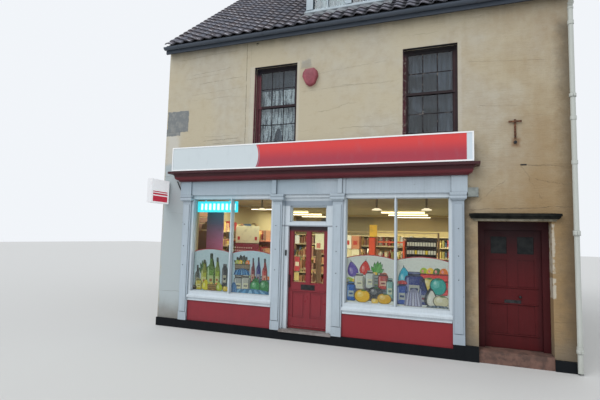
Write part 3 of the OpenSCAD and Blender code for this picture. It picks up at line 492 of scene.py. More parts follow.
# Cracks on the front: start, end, half width, strength, how far they wander
wallCracks = [
    ((1.98, 3.85), (1.96, 6.08), 0.007, 0.85, 0.05),
    ((2.07, 3.85), (2.06, 5.9), 0.004, 0.3, 0.04),
    ((0.62, 5.48), (1.6, 5.56), 0.005, 0.45, 0.1),
    ((0.95, 3.98), (1.85, 4.0), 0.007, 0.6, 0.12),
    ((0.8, 5.26), (1.9, 5.33), 0.005, 0.55, 0.06),
    ((0.45, 5.4), (1.3, 5.44), 0.004, 0.4, 0.06),
    ((1.2, 3.9), (1.95, 3.93), 0.005, 0.45, 0.06),
    ((0.62, 5.02), (1.95, 5.1), 0.004, 0.35, 0.05),
    ((3.2, 4.86), (4.3, 4.9), 0.004, 0.3, 0.04),
    ((3.3, 5.18), (4.9, 5.3), 0.004, 0.25, 0.05),
    ((0.2, 5.85), (1.75, 5.92), 0.005, 0.35, 0.1),
    ((3.55, 4.4), (4.35, 4.56), 0.005, 0.4, 0.16),
    ((6.3, 5.1), (7.5, 5.0), 0.004, 0.35, 0.06),
    ((6.45, 4.3), (7.3, 4.24), 0.004, 0.3, 0.1),
    ((7.15, 3.25), (7.86, 3.2), 0.006, 0.55, 0.1),
    ((7.3, 3.0), (7.8, 2.9), 0.005, 0.45, 0.2),
    ((7.1, 3.25), (7.4, 2.66), 0.005, 0.35, 0.22),
    ((6.42, 2.62), (6.9, 3.02), 0.005, 0.35, 0.22),
    ((6.3, 2.5), (7.86, 2.56), 0.008, 0.5, 0.1),
]


def wallRender(s, name, kind):
    m = Surface(name, 0.92)
    x, y, z = m.x, m.y, m.z
    broad, patchy, fine = m.noise(0.55), m.noise(2.3, 6, 0.62), m.noise(38)
    streaks = m.noise(1.0, stretch=(5.5, 5.5, 0.6))
    ripple = m.noise(1.0, stretch=(5, 5, 34))
    m.colour = mixed(between(broad, 0.38, 0.66), s["cream"], s["pale"])
    m.coat(between(m.noise(5.5, 5) * 0.5 + broad * 0.5, 0.44, 0.62, 0, 0.2), s["ochre"])
    # Ochre stains grow to the right and low down
    stain = between(x, 4.6, 7.9, 0, 0.62) + between(z, 4.2, 1.8, 0, 0.55) * between(x, 3.0, 6.4, 0.2, 1.0)
    stain = stain + streaks * 0.3 + patchy * 0.75
    m.coat(between(stain, 0.55, 1.9, 0, 0.95), s["ochre"])
    relief = fine * 0.45 + patchy * 0.8 + ripple * between(x, 4.0, 6.4, 0.25, 0.9)
    m.coat(between(ripple, 0.56, 0.72, 0, 0.09), s["crack"])
    if kind != "rear":
        # Repairs and cracks stay on the half of the house that is nearer to the street
        grain = m.noise(7, 5, 0.65)
        nearStreet = y < houseDepth / 2
        for *box, ragged, soft, tint, strength in wallPatches:
            share = inBox(x, z, box, soft, ragged, grain) * nearStreet
            if tint == "flake":
                share = share * between(m.noise(13), 0.4, 0.47)
            m.coat(share * strength, s[tint])
            if tint == "cement":
                m.coat(share * between(grain, 0.46, 0.6, 0, 0.45), s["bare"])
                relief = share * (grain * 1.6 + 0.4) + relief
        waver = m.noise(3.5, 6, 0.72) - 0.5
        thin = between(m.noise(6.5, 3), 0.36, 0.5) * nearStreet
        for start, end, width, strength, sway in wallCracks:
            line = alongLine(x, z, start, end, waver * sway, width) * thin
            m.coat(line * strength, s["crack"])
            relief = line * -0.8 + relief
    # Trowel lines of the courses show faintly
    course = pingPong(z + m.noise(2.5, 5, 0.65, (0.8, 0.8, 0.2)) * 0.16, s["courseStep"])
    seen = between(m.noise(1.6, 3, 0.5, (0.5, 0.5, 1.4), (3, 0, 8)), 0.5, 0.66)
    line = between(course, 0.007, 0.0015) * seen
    m.coat(line * 0.4, s["crack"])
    relief = line * -0.5 + relief
    # Damp rises from the ground, dirt hangs under the eaves and speckles the face
    foot = between(patchy * 0.45 + z, 0.95, 0.3, 0, 0.75)
    head = between(streaks * 0.5 + z, 6.1, 6.45, 0, 0.4)
    m.coat(larger(larger(foot, head), between(fine, 0.62, 0.72, 0, 0.22)), s["damp"])
    if kind == "party":
        plain = mixed(between(patchy, 0.35, 0.7, 0, 0.35), s["party"], s["damp"])
        m.coat(between(m.sideways(), 0.5, 0.6), plain)
    # Inside, the shop and the rooms above have their own paint
    inside = (abs(x - houseWidth / 2) < houseWidth / 2 - 0.2) * (abs(y - houseDepth / 2) < houseDepth / 2 - 0.4)
    m.coat(inside, mixed(between(z, s["ceiling"], s["ceiling"] + 0.05), s["shopWall"], s["roomWall"]))
    return m.done(relief, 0.4, 0.02)


dress("front_wall front_piers side_door_head", wallRender(renderSettings, "creamRender", "front"))
dress("rear_wall", wallRender(renderSettings, "rearRender", "rear"))
dress("left_party_wall right_party_wall", wallRender(renderSettings, "partyRender", "party"))
print("walls rendered")


# Painted timber and other painted pieces

# Each paint's colour, the colour under it and its dirt, then its gloss, roughness, how rarely it chips,
# the wear of its arrises, and the dirt and painted shade in its joints and corners
paintSettings = {
    "whitePaint": ((178, 191, 201), (120, 122, 122), (122, 130, 136), 0.5, 0.42, 0.68, 0.15, 0.85),
    "frameWhite": ((204, 214, 221), (120, 122, 122), (136, 144, 150), 0.5, 0.42, 0.68, 0.15, 0.45),
    "stallRed": ((138, 34, 46), (104, 36, 46), (104, 34, 42), 0.5, 0.38, 0.78, 0.1, 0.5),
    "doorRed": ((132, 30, 42), (92, 34, 42), (92, 32, 40), 0.5, 0.33, 0.8, 0.15, 0.7),
    "sideRed": ((84, 20, 24), (58, 22, 24), (44, 18, 18), 0.2, 0.5, 0.76, 0.1, 0.8),
    "maroonPaint": ((86, 32, 40), (70, 40, 46), (58, 32, 38), 0.3, 0.42, 0.78, 0.2, 0.5),
    "brownPaint": ((108, 62, 70), (176, 166, 156), (54, 40, 46), 0.25, 0.6, 0.67, 0.5, 0.5),
    # The glazing bars are painted as dark as the shaded sash frames: painted shade
    "barDark": ((36, 32, 38), (130, 124, 118), (30, 28, 34), 0.2, 0.6, 0.66, 0.0, 0.0),
    "blackPaint": ((72, 80, 91), (80, 85, 92), (74, 81, 90), 0.3, 0.55, 0.74, 0.1, 0.3),
    "plinthBlack": ((19, 22, 26), (50, 52, 54), (36, 38, 40), 0.1, 0.7, 0.7, 0.3, 0.3),
    "pipeCream": ((190, 194, 188), (140, 124, 98), (150, 150, 140), 0.5, 0.5, 0.7, 0.1, 0.5),
    "dormerWhite": ((180, 194, 202), (140, 146, 148), (118, 126, 130), 0.5, 0.5, 0.7, 0.15, 0.7),
    "shelfEnds": ((120, 92, 72), (104, 84, 68), (84, 62, 48), 0.5, 0.45, 0.8, 0.1, 0.3),
    "shelfPaint": ((190, 170, 130), (150, 140, 122), (140, 122, 92), 0.5, 0.4, 0.8, 0.1, 0.3),
}
# Painted light and shade on parts: left, right, low, high, softness, colour, strength.
# Most rows are painted shade under heads, mouldings, rails and the door hood; the cornice's lower band is a
# painted highlight, the pale cyan on the left shop frames is painted glow of the lit window sign, and the right
# stallriser takes a deeper red
paintedLightAndShade = {
    "whitePaint": [
        (0.4, 3.5, 2.86, 3.14, 0.35, (140, 164, 178), 0.6), (0.4, 6.4, 2.742, 2.754, 0.004, (66, 80, 94), 0.75),
        (6.0, 6.5, 0.2, 2.7, 0.06, (146, 158, 170), 0.5)],
    "frameWhite": [
        (0.7, 1.9, 2.3, 2.95, 0.25, (150, 196, 212), 0.45), (2.84, 3.95, 2.576, 2.68, 0.012, (104, 120, 136), 0.7),
        (2.84, 3.95, 2.17, 2.2, 0.006, (90, 96, 108), 0.6)],
    "stallRed": [(4.0, 6.4, 0.1, 0.7, 0.2, (138, 16, 28), 0.6)],
    "doorRed": [(2.9, 3.9, 2.09, 2.3, 0.03, (28, 15, 20), 0.95)],
    "sideRed": [
        (6.3, 7.7, 1.75, 2.9, 0.55, (30, 14, 18), 0.9), (7.36, 7.6, 0.0, 2.9, 0.05, (52, 16, 20), 0.6),
        (6.3, 6.6, 0.0, 2.9, 0.08, (48, 14, 18), 0.5)],
    "maroonPaint": [
        (0.0, 7.0, 3.195, 3.5, 0.012, (56, 30, 34), 0.7), (0.0, 7.0, 3.108, 3.175, 0.01, (118, 46, 54), 0.6)],
    "brownPaint": [
        (2.0, 3.3, 5.33, 5.7, 0.05, (30, 32, 42), 0.95), (5.0, 6.3, 5.37, 5.7, 0.05, (30, 32, 38), 0.92),
        (3.03, 3.3, 3.6, 5.7, 0.03, (38, 34, 38), 0.95), (2.28, 3.04, 3.6, 5.5, 0.02, (36, 31, 35), 0.92),
        (5.24, 6.08, 3.6, 5.5, 0.02, (36, 34, 36), 0.92), (6.08, 6.3, 3.6, 5.5, 0.02, (44, 37, 39), 0.92),
        (5.1, 5.24, 4.6, 5.6, 0.2, (58, 42, 46), 0.7)],
    "dormerWhite": [(3.0, 5.0, 6.66, 6.718, 0.006, (62, 70, 78), 0.85)],
}
# Parts where the paint flakes off: left, right, low, high, how much more
paintFlakes = {
    "brownPaint": [(5.1, 5.28, 3.6, 5.6, 0.11), (6.08, 6.3, 3.6, 5.5, 0.05)],
    "barDark": [(5.1, 6.3, 3.6, 5.6, 0.08)],
}


def oldPaint(name, body, under, grime, gloss, rough, chips, edge, jointDirtAndShade):
    m = Surface(name, rough, gloss)
    cloud = m.noise(3.1, 5)
    runs = m.noise(1.0, stretch=(14, 14, 0.9))
    brush = m.noise(1.0, 3, 0.5, (60, 60, 3))
    spots = m.noise(17, 6, 0.7)
    m.colour = mixed(between(brush, 0.3, 0.7, 0, 0.12), body, grime)
    dirt = cloud * 0.6 + runs * 0.5 + between(m.z, 0.9, 0.12, 0, 0.22)
    m.coat(between(dirt, 0.52, 1.02, 0, 0.4), grime)
    # Paint wears off the arrises and lifts in small chips; joints and corners darken with dirt and painted shade
    arris = m.arris(0.006) * between(spots, 0.42, 0.55)
    loose = spots
    for *box, amount in paintFlakes.get(name, []):
        loose = inBox(m.x, m.z, box, 0.02) * amount + loose
    chip = between(loose, chips, chips + 0.015)
    m.coat(larger(chip, arris * edge), under)
    if jointDirtAndShade:
        # Painted shade and dirt where the surface is hemmed in by other surfaces
        m.coat(m.crevice(0.035) * jointDirtAndShade, (60, 62, 66), "MULTIPLY")
    # Painted light and shade, laid on by place on the street side
    for *box, soft, paintedShading, strength in paintedLightAndShade.get(name, []):
        m.coat(inBox(m.x, m.z, box, soft) * (m.y < houseDepth / 2) * strength, paintedShading)
    m.feed("Roughness", between(cloud, 0.3, 0.75, rough - 0.08, rough + 0.18))
    return m.done(brush * 0.35 + chip * -0.6, 0.25, 0.004)


paints = {name: oldPaint(name, *s) for name, s in paintSettings.items()}
for paint, names in {
    "whitePaint": "pilasters frieze", "frameWhite": "shop_window_frames shop_sills shop_door_frame",
    "stallRed": "stallrisers", "doorRed": "shop_door", "sideRed": "side_door side_door_frame",
    "maroonPaint": "cornice", "brownPaint": "sash_frames", "blackPaint": "eaves_boards gutters",
    "plinthBlack": "plinth", "pipeCream": "downpipes", "dormerWhite": "dormer_window",
    "shelfEnds": "shelf_ends", "shelfPaint": "shelf_boards",
}.items():
    dress(names, paints[paint])
print("paint on")


# Stone, lead, clay, iron and plaster

# Each one's light and dark tone, gloss, roughness, scale of its grain, and the pieces that it dresses
mineralSettings = {
    "leadSheet": ((142, 148, 152), (98, 103, 108), 0.5, 0.5, 4, "dormer_cheeks dormer_roof"),
    "roofTimber": ((70, 66, 64), (44, 42, 42), 0.5, 0.95, 6, "roof_front roof_rear"),
    "roofMortar": ((128, 126, 122), (82, 80, 78), 0.5, 0.95, 16, "ridge"),
    "rustyIron": ((122, 78, 50), (60, 40, 32), 0.5, 0.85, 30, "iron_bracket"),
    "darkIron": ((58, 58, 60), (34, 34, 36), 0.5, 0.4, 26, "shop_door_fittings side_door_fittings"),
    "shopFloor": ((150, 140, 122), (112, 104, 90), 0.5, 0.35, 3, "ground_floor"),
    "ceilingPaper": ((174, 168, 146), (158, 152, 130), 0.5, 0.85, 2, "first_floor attic_floor"),
    "greyPlastic": ((140, 147, 142), (116, 121, 118), 0.5, 0.45, 12, "meter_box"),
    "alarmRed": ((156, 76, 86), (128, 54, 66), 0.5, 0.5, 6, "alarm_box"),
    "signFrame": ((250, 250, 248), (236, 240, 244), 0.5, 0.22, 5, "sign_box"),
}
# Two stones that meet: their piece, light and dark tone of each, the axis along it and where one ends
stonePairs = {
    "stepStones": ("door_steps", ((144, 138, 136), (118, 110, 106)), ((122, 94, 84), (92, 74, 68)), "x", 6.2, 6.3),
    "hoodStones": ("door_hood", ((150, 146, 130), (104, 98, 84)), ((36, 37, 33), (16, 17, 16)), "z", 2.352, 2.362),
}


def mineral(name, light, dark, gloss, rough, grain):
    m = Surface(name, rough, gloss)
    share = m.noise(grain, 6, 0.62) * 0.8 + m.noise(grain * 14, 3) * 0.2
    m.colour = mixed(between(share, 0.36, 0.64), dark, light)
    m.feed("Metallic", 0.6 if name == "darkIron" else 0.0)
    return m.done(share, 0.3, 0.01)


def twoStones(name, first, second, axis, low, high):
    m = Surface(name, 0.85, 0.15)
    blotch = m.noise(8, 6, 0.62)
    level = blotch * 0.008 + getattr(m, axis)
    tones = [mixed(between(blotch, 0.36, 0.64), dark, light) for light, dark in (first, second)]
    m.colour = mixed(between(level, low, high), *tones)
    return m.done(blotch, 0.4, 0.012)


for name, (*look, names) in mineralSettings.items():
    paints[name] = mineral(name, *look)
    dress(names, paints[name])
for name, (node, *look) in stonePairs.items():
    dress(node, twoStones(name, *look))
print("stone, lead and iron done")


# Glass that lets lamps through

glassSettings = {
    "shopGlass": {"on": "shopfront_glass shop_door_glass", "tint": (0.95, 0.97, 0.96), "rough": 0.0, "bend": 1.18},
    "paneGlass": {"on": "window_glass", "tint": (0.8, 0.86, 0.88), "rough": 0.01, "bend": 1.45},
}
obscureSettings = {"light": (44, 46, 46), "dark": (26, 28, 30), "reeds": 520}


def windowGlass(name, s):
    m = Surface(name, s["rough"])
    tint = (*s["tint"], 1)
    m.feed("Base Color", tint)
    m.feed("Transmission Weight", 1)
    m.feed("IOR", s["bend"])
    m.feed("Roughness", between(m.noise(2.5, 5), 0.3, 0.8, s["rough"], s["rough"] + 0.04))
    m.show(addNode(m.tree, "MixShader", {
        0: addNode(m.tree, "LightPath", out="Is Shadow Ray"), 1: Wire(m.shader.outputs[0]),
        2: addNode(m.tree, "BsdfTransparent", {"Color": tint})}))
    return m.material


def obscureGlass(s):
    # Old ribbed glass, drawn dark and opaque: painted shade of the unlit hall behind it
    m = Surface("obscureGlass", 0.25, 0.12)
    m.colour = mixed(between(m.noise(9), 0.3, 0.7), s["dark"], s["light"])
    return m.done(sine(m.x * s["reeds"]), 0.2, 0.002)


for name, s in glassSettings.items():
    dress(s["on"], windowGlass(name, s))
dress("side_door_glass", obscureGlass(obscureSettings))
print("glass fitted")


# Lamps that are lit

lampSettings = {
    "glow": (255, 240, 205), "body": (176, 160, 122), "brass": (96, 80, 54),
    "tubeStrength": 3.2, "bellStrength": 1.1, "bellDeep": 1.2, "bellGlow": 0.035, "tubeGlow": 0.016, "tubeTall": 0.09,
}


def ceilingLamps(s):
    # The tubes glow along their undersides, and the bells inside their rims
    m = Surface("lampGlow", 0.5)
    low, high = nodeBox("ceiling_lights")
    bell = m.y < s["bellDeep"]
    rimTop = low.z + s["bellGlow"]
    stripTop = high.z - s["tubeTall"] + s["tubeGlow"]
    lit = addNode(m.tree, "Mix", {
        0: bell, 2: between(m.z, stripTop + 0.002, stripTop) * s["tubeStrength"],
        3: between(m.z, rimTop + 0.01, rimTop) * s["bellStrength"]})
    m.colour = mixed(bell, s["body"], s["brass"])
    m.glow((*linear(s["glow"]), 1), lit * between(m.noise(6, 2, 0.5), 0.3, 0.7, 0.9, 1.0))
    return m.done()


dress("ceiling_lights", ceilingLamps(lampSettings))
print("lamps lit")


# Roof of pantiles

tileSettings = {
    "columns": 33, "rows": 26, "overhang": 0.06, "lap": 0.05, "roll": 0.021,
    "thickness": 0.013, "lift": 0.024, "bed": 0.022, "secondWave": 0.22, "tilt": 0.012, "twist": 0.01, "seed": 7,
    "holeFront": 0.2, "marginBack": 0.1, "marginLeft": 0.1, "marginRight": 0.15,
    "pitch": 41.0, "plateDeep": -0.13, "plateHigh": 6.1758,
    # tail is painted highlight on the rolls; dark is painted shade in the troughs and crevices, and also darkens a
    # few tiles at random
    "grey": (100, 102, 114), "brown": (95, 87, 91), "tail": (192, 193, 202), "moss": (82, 85, 90),
    "dark": (27, 29, 37),
}
rise = math.radians(tileSettings["pitch"])


def pantileTree():
    tree, start = newTree("pantiles", "cover gauge lap roll thickness lift holeLeft holeRight holeLow holeHigh",
                          "columns rows seed")
    sheet, across, along = unitSheet(tree, 13, 2)
    wave = sine(across * (4 * math.pi)) * tileSettings["secondWave"] + sine(across * math.tau)
    high = wave * start.roll + (1.0 - across) * start.thickness + (1.0 - along) * start.lift
    tile = thickened(moved(sheet, Position=joined(
        across * start.cover, along * (start.gauge + start.lap), high)), start.thickness)
    wide = start.cover * (start.columns - 1)
    tall = start.gauge * (start.rows - 1)
    grid = addNode(tree, "MeshGrid", {
        "Size X": wide, "Size Y": tall, "Vertices X": start.columns, "Vertices Y": start.rows})
    grid = moved(grid, Offset=joined(wide * 0.5, tall * 0.5, 0.0))
    # Tiles are left out where the dormer stands
    x, y, _ = split(addNode(tree, "InputPosition"))
    inside = (x > start.holeLeft) * (x < start.holeRight) * ((y > start.holeLow) * (y < start.holeHigh))
    grid = addNode(tree, "DeleteGeometry", {"Geometry": grid, "Selection": inside}, domain="POINT")
    tilt, twist = tileSettings["tilt"], tileSettings["twist"]
    turn = joined(randomly(tree, -tilt, tilt, start.seed), 0.0, randomly(tree, -twist, twist, 3))
    return closeTree(start, copied(grid, tile, 11, Rotation=turn))


def tileClay(s, cover, gauge, tailLine):
    m = Surface("pantileClay", 0.88)
    tone = m.stored("tone")
    patches = m.noise(14, 6, 0.68)
    m.colour = mixed(between(tone * 0.35 + m.noise(1.4) * 0.75, 0.35, 0.75), s["grey"], s["brown"])
    m.coat(between(patches, 0.52, 0.66, 0, 0.6), s["moss"])
    m.coat(between(tone, 0.88, 0.92, 0, 0.35), s["dark"])
    # Painted light on the relief: the rolls take a painted highlight, and painted shade lies in the troughs, up
    # against the next tails and in crevices
    share = fraction(m.x / cover)
    troughShade = between(abs(share - 0.8), 0.27, 0.09) * 0.95
    course = fraction((tailLine - abs(m.y - houseDepth / 2)) / (gauge * math.cos(rise)))
    paintedHighlight = between(course, 0.36, 0.06) * between(patches, 0.38, 0.54)
    m.coat(paintedHighlight * between(tone, 0.1, 0.8, 0.15, 0.95), s["tail"])
    m.coat(larger(larger(troughShade, between(course, 0.66, 1.0, 0, 0.75)), m.crevice(0.06) * 0.8), s["dark"])
    return m.done(patches * 0.7 + m.noise(70, 3) * 0.3, 0.6, 0.012)


def layTiles(s):
    dormerLow, dormerHigh = nodeBox("dormer_window")
    tree = pantileTree()
    firstDeep = s["plateDeep"] - s["overhang"]
    cover = houseWidth / s["columns"]
    gauge = (houseDepth / 2 - firstDeep) / math.cos(rise) / s["rows"]
    clay = tileClay(s, cover, gauge, houseDepth / 2 - firstDeep)
    bed = s["plateHigh"] - s["overhang"] * math.tan(rise) + s["bed"] / math.cos(rise)
    # The hole is measured along the slope to the tiles' tails
    hole = {"holeLeft": dormerLow.x - s["marginLeft"], "holeRight": dormerHigh.x - s["marginRight"],
            "holeLow": (s["holeFront"] - firstDeep) / math.cos(rise),
            "holeHigh": (nodeBox("dormer_roof")[1].y - s["marginBack"] - firstDeep) / math.cos(rise)}
    for name, node, across, deep, way, more in (
            ("frontPantiles", "tiles_front", 0, firstDeep, 1, hole),
            ("rearPantiles", "tiles_rear", houseWidth, houseDepth - firstDeep, -1, {"seed": s["seed"] + 1})):
        place = facing(across, deep, bed, (way, 0, 0), (0, way * math.cos(rise), math.sin(rise)))
        values = {**s, "cover": cover, "gauge": gauge, **more}
        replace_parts(settle(grown(tree, name, values, clay, place), clay, "clay_pantiles"), node)
    return clay


clay = layTiles(tileSettings)
print("pantiles laid")


# Half-round shapes in a row: ridge tiles, gutter brackets and pipe collars

def arcRowTree():
    # A flare widens the first part of each shape's length
    tree, start = newTree("arcRow", "step length radius thickness flare start sweep play", "count seed")
    sheet, along, about = unitSheet(tree, 4, 15)
    angle = (about * start.sweep + start.start) * (math.pi / 180)
    radius = start.radius + (along < 0.2) * start.flare
    band = thickened(moved(sheet, Position=joined(
        along * start.length, cosine(angle) * radius * -1.0, sine(angle) * radius)),
        start.thickness)
    line = inRow(start.count, Offset=joined(start.step, 0.0, 0.0))
    low = start.play * -1.0
    turn = joined(randomly(tree, low, start.play, start.seed), randomly(tree, low, start.play, 5), 0.0)
    return closeTree(start, copied(line, band, 13, Rotation=turn))


ridgeSettings = {
    "count": 18, "radius": 0.131, "thickness": 0.014, "flare": 0.01, "start": 22.0, "sweep": 136.0,
    "play": 0.012, "seed": 3, "sink": 0.13,
}
gutterSettings = {
    "count": 8, "first": 0.35, "step": 1.02, "length": 0.028, "radius": 0.0565, "thickness": 0.005,
    "start": 180.0, "sweep": 180.0, "deep": -0.21, "high": 6.1,
}
# Each collar's height, width and radius
collarSettings = {
    "rows": ((2.1, 0.075, 0.047), (4.3, 0.055, 0.045), (0.32, 0.055, 0.045)), "thickness": 0.006,
    "count": 1, "sweep": 360.0, "pipes": ((7.85, -0.095), (0.05, houseDepth + 0.095)),
}
arcRow = arcRowTree()


def layRidge(s):
    step = houseWidth / s["count"]
    place = Matrix.Translation(spot(0, houseDepth / 2, nodeBox("ridge")[1].z - s["sink"]))
    grownRows(arcRow, "ridgeTiles", [({**s, "step": step, "length": step}, place)], clay, "ridge_clay", True)


def hangGutters(s):
    grownRows(arcRow, "gutterBrackets", [
        (s, facing(across, deep, s["high"], (way, 0, 0), (0, way, 0)) @ Matrix.Translation((s["first"], 0, 0)))
        for across, deep, way in ((0, s["deep"], 1), (houseWidth, houseDepth - s["deep"], -1))],
        paints["blackPaint"], "black_paint")


def fixCollars(s):
    grownRows(arcRow, "pipeCollars", [
        ({**s, "length": wide, "radius": radius}, facing(across, deep, high, (0, 0, 1), (0, 1, 0)))
        for across, deep in s["pipes"] for high, wide, radius in s["rows"]],
        paints["pipeCream"], "cream_paint", True)


layRidge(ridgeSettings)
hangGutters(gutterSettings)
fixCollars(collarSettings)
print("ridge, gutters and pipes done")


# Lead dressed round the dormer

leadSettings = {
    "past": 0.06, "sillOut": 0.052, "columns": 96, "thickness": 0.004,
    "soakerIn": 0.018, "soakerStart": 0.07, "soakerEnd": 0.02, "soakerColumns": 24, "clear": 0.08,
    "ragged": 0.01, "dent": 0.004, "soakerDent": 0.003,
}
# Rows of the apron from the sill down: out, height over the tiles, and share of their waves
apronRows = ((0.0, 0.04, 0.0), (0.008, 0.048, 0.5), (0.05, 0.068, 0.9), (0.235, 0.088, 1.0), (0.245, 0.076, 1.0))
# Rows of the soakers from each cheek outwards: out and height over the tiles
soakerRows = ((0.0, 0.16), (0.006, 0.075), (0.065, 0.068), (0.13, 0.06))


def slopeHigh(deep):
    return tileSettings["plateHigh"] + (deep - tileSettings["plateDeep"]) * math.tan(rise)


def tileWave(across):
    share = across / (houseWidth / tileSettings["columns"]) % 1
    second = tileSettings["secondWave"] * math.sin(2 * math.tau * share)
    return tileSettings["roll"] * (math.sin(math.tau * share) + second)


def leadWork(s):
    low, high = nodeBox("dormer_window")
    roofLow, roofHigh = nodeBox("dormer_roof")
    bm = bmesh.new()
    left, wide = low.x - s["past"], high.x - low.x + 2 * s["past"]
    first, last = low.y + s["soakerStart"], roofHigh.y - s["soakerEnd"]

    def apron(t, out, lift, share):
        u, deep = left + wide * t, low.y + s["sillOut"] - out
        ragged = s["ragged"] * wander.noise(Vector((u * 4.1, deep * 3, 1.7))) if share == 1.0 else 0
        dent = s["dent"] * wander.noise(Vector((u * 9, deep * 9, 0)))
        return spot(u, deep + ragged, slopeHigh(deep) + lift + share * tileWave(u) + dent)

    def soaker(t, out, lift):
        deep = first + (last - first) * (t if way > 0 else 1 - t)
        wave = tileWave(edge + way * out) if out > 0.01 else 0
        dent = s["soakerDent"] * wander.noise(Vector((deep * 8, out * 20, way)))
        return spot(edge + way * out, deep, min(slopeHigh(deep) + lift + wave + dent, roofLow.z + s["clear"]))

    sheetOf(bm, apronRows, s["columns"], apron)
    # Soakers run up both cheeks and lap the tiles
    for edge, way in ((low.x + s["soakerIn"], -1), (high.x - s["soakerIn"], 1)):
        sheetOf(bm, soakerRows, s["soakerColumns"], soaker)
    piece = addPiece("dormerFlashing", bm, paints["leadSheet"], "lead_sheet", smooth=True)
    modifier = piece.modifiers.new("gauge", "SOLIDIFY")
    modifier.thickness, modifier.offset = s["thickness"], 1


# Left, right, front, back, low, high and bevel of each board on the dormer's face
dormerTrim = {"paint": "dormerWhite", "slot": "white_paint", "boxes": [
    (3.105, 4.895, 0.384, 0.452, 6.684, 6.745, 0.004),
    (3.112, 3.262, 0.428, 0.452, 6.8, 7.785, 0.004),
    (3.965, 4.098, 0.428, 0.452, 6.8, 7.785, 0.004),
]}

leadWork(leadSettings)
addTrim("dormerBoards", dormerTrim)
print("lead dressed and the dormer boarded")


# Glazing bars of the sashes

# Each sash's foot over the sill, height, and how deep it stands
sashSettings = {
    "front": [2.16, 5.19], "rear": [1.76, 4.79], "frontSills": [3.8], "rearSills": [3.8, 0.82], "window": 0.95,
    "paneIn": 0.09, "wide": 0.77, "sashes": ((0.87, 0.72, 0.136), (0.123, 0.702, 0.164)),
    "columns": 3, "rows": 2, "bar": 0.019,
}


def glazingTree():
    tree, start = newTree("glazingBars", "wide tall bar", "columns rows")
    profile = addNode(tree, "CurvePrimitiveCircle", {
        "Resolution": 8, "Radius": start.bar * 0.54}, mode="RADIUS")

    def barsAlong(end, count, offset):
        curve = addNode(tree, "CurvePrimitiveLine", {"End": end}, mode="POINTS")
        bar = addNode(tree, "CurveToMesh", {"Curve": curve, "Profile Curve": profile, "Fill Caps": True})
        line = inRow(count - 1, Offset=offset, **{"Start Location": offset})
        return addNode(tree, "InstanceOnPoints", {"Points": line, "Instance": bar})

    upright = barsAlong(joined(0.0, start.tall, 0.0), start.columns, joined(start.wide / start.columns, 0.0, 0.0))
    level = barsAlong(joined(start.wide, 0.0, 0.0), start.rows, joined(0.0, start.tall / start.rows, 0.0))
    return closeTree(start, togetherIn(upright, level))


def glazeSashes(s):
    bars = []
    for side in ("front", "rear"):
        for across in s[side]:
            for sill in s[side + "Sills"]:
                for foot, tall, deep in s["sashes"]:
                    place = facing(across + s["paneIn"], deep, sill + foot)
                    if side == "rear":
                        place = facing(across + s["window"] - s["paneIn"], houseDepth - deep, sill + foot, (-1, 0, 0))
                    bars.append(({**s, "tall": tall}, place))
    grownRows(glazingTree(), "glazingBars", bars, paints["barDark"], "brown_paint")


glazeSashes(sashSettings)
print("sashes glazed")


# Sign faces, left without words

signSettings = {
    "redTop": (216, 52, 50), "redLow": (166, 38, 60), "white": (204, 214, 218), "silver": (206, 218, 226),
    "line": (120, 126, 140), "panelEnd": 1.955, "bulge": 0.055, "stripWide": 0.088, "coat": 0.3,
}
# Shares of the height that the red fields take
flagSettings = {
    "white": (236, 238, 240), "red": (186, 34, 58), "pale": (222, 196, 200), "glow": 0.35,
    "bands": ((0.06, 0.3), (0.345, 0.42), (0.455, 0.5)), "inFront": 0.05, "inBack": 0.09,
}
# The band's distance from the sign's left, right, foot and top
litSettings = {
    "cyan": (40, 190, 205), "white": (214, 250, 250), "strength": 1.7, "dots": 46, "waves": 62,
    "band": (0.09, 0.05, 0.05, 0.1),
}


def signFace(s):
    m = Surface("signVinyl", 0.28)
    low, high = nodeBox("sign_face")
    grain = m.noise(3)
    # The red grows lighter towards the top, a painted glow
    m.colour = mixed(between(grain * 0.02 + m.z, low.z + 0.1, high.z - 0.04), s["redLow"], s["redTop"])
    # The pale panel at the left ends in a bow with a grey line
    away = (m.z - (low.z + high.z) / 2) / ((high.z - low.z) / 2)
    edge = m.x - (low.x + s["panelEnd"]) - (1.0 - away * away) * s["bulge"]
    m.coat(between(abs(edge - 0.026), 0.007, 0.004), s["line"])
    m.coat(between(edge, 0.003, -0.003), s["white"])
    strip = high.x - s["stripWide"]
    m.coat(between(m.x, strip, strip + 0.004), s["silver"])
    m.coat(between(abs(m.x - (strip + 0.008)), 0.009, 0.006), s["white"])
    m.coat(between(m.noise(4, 5, stretch=(2, 2, 0.8)), 0.5, 0.8, 0, 0.1), s["line"])
    m.feed("Coat Weight", s["coat"])
    return m.done(grain, 0.05, 0.01)


def flagFace(s):
    m = Surface("flagVinyl", 0.3)
    low, high = nodeBox("projecting_sign")
    m.colour = mixed(between(m.noise(8), 0.3, 0.8), s["white"], s["pale"])
    m.coat(0.8, s["white"])
    # Red fields stand inside a white border on both broad faces, which are lit from inside
    broad = m.sideways() > 0.7
    tall = high.z - low.z
    for start, end in s["bands"]:
        box = low.y + s["inFront"], high.y - s["inBack"], low.z + start * tall, low.z + end * tall
        m.coat(inBox(m.y, m.z, box, 0.004) * broad, s["red"])
    m.glow(m.colour, broad * s["glow"])
    return m.done(m.noise(40, 3), 0.08, 0.004)


def litSign(s):
    m = Surface("litSign", 0.4)
    low, high = nodeBox("window_sign")
    # A chequer of lamp dots, brighter along a middle band
    left, right, foot, top = s["band"]
    band = inBox(m.x, m.z, (low.x + left, high.x - right, low.z + foot, high.z - top), 0.01)
    m.colour = mixed(band * between(sine(m.x * s["waves"]), -0.2, 0.2), s["cyan"], s["white"])
    m.glow(m.colour, between(m.cells((1, 0, 1), s["dots"], 0.0), 0.5, 0.2, 0.45, 1.0) * s["strength"])
    return m.done()


dress("sign_face", signFace(signSettings))
dress("projecting_sign", flagFace(flagSettings))
dress("window_sign", litSign(litSettings))
print("signs done")


# Lace and curtains

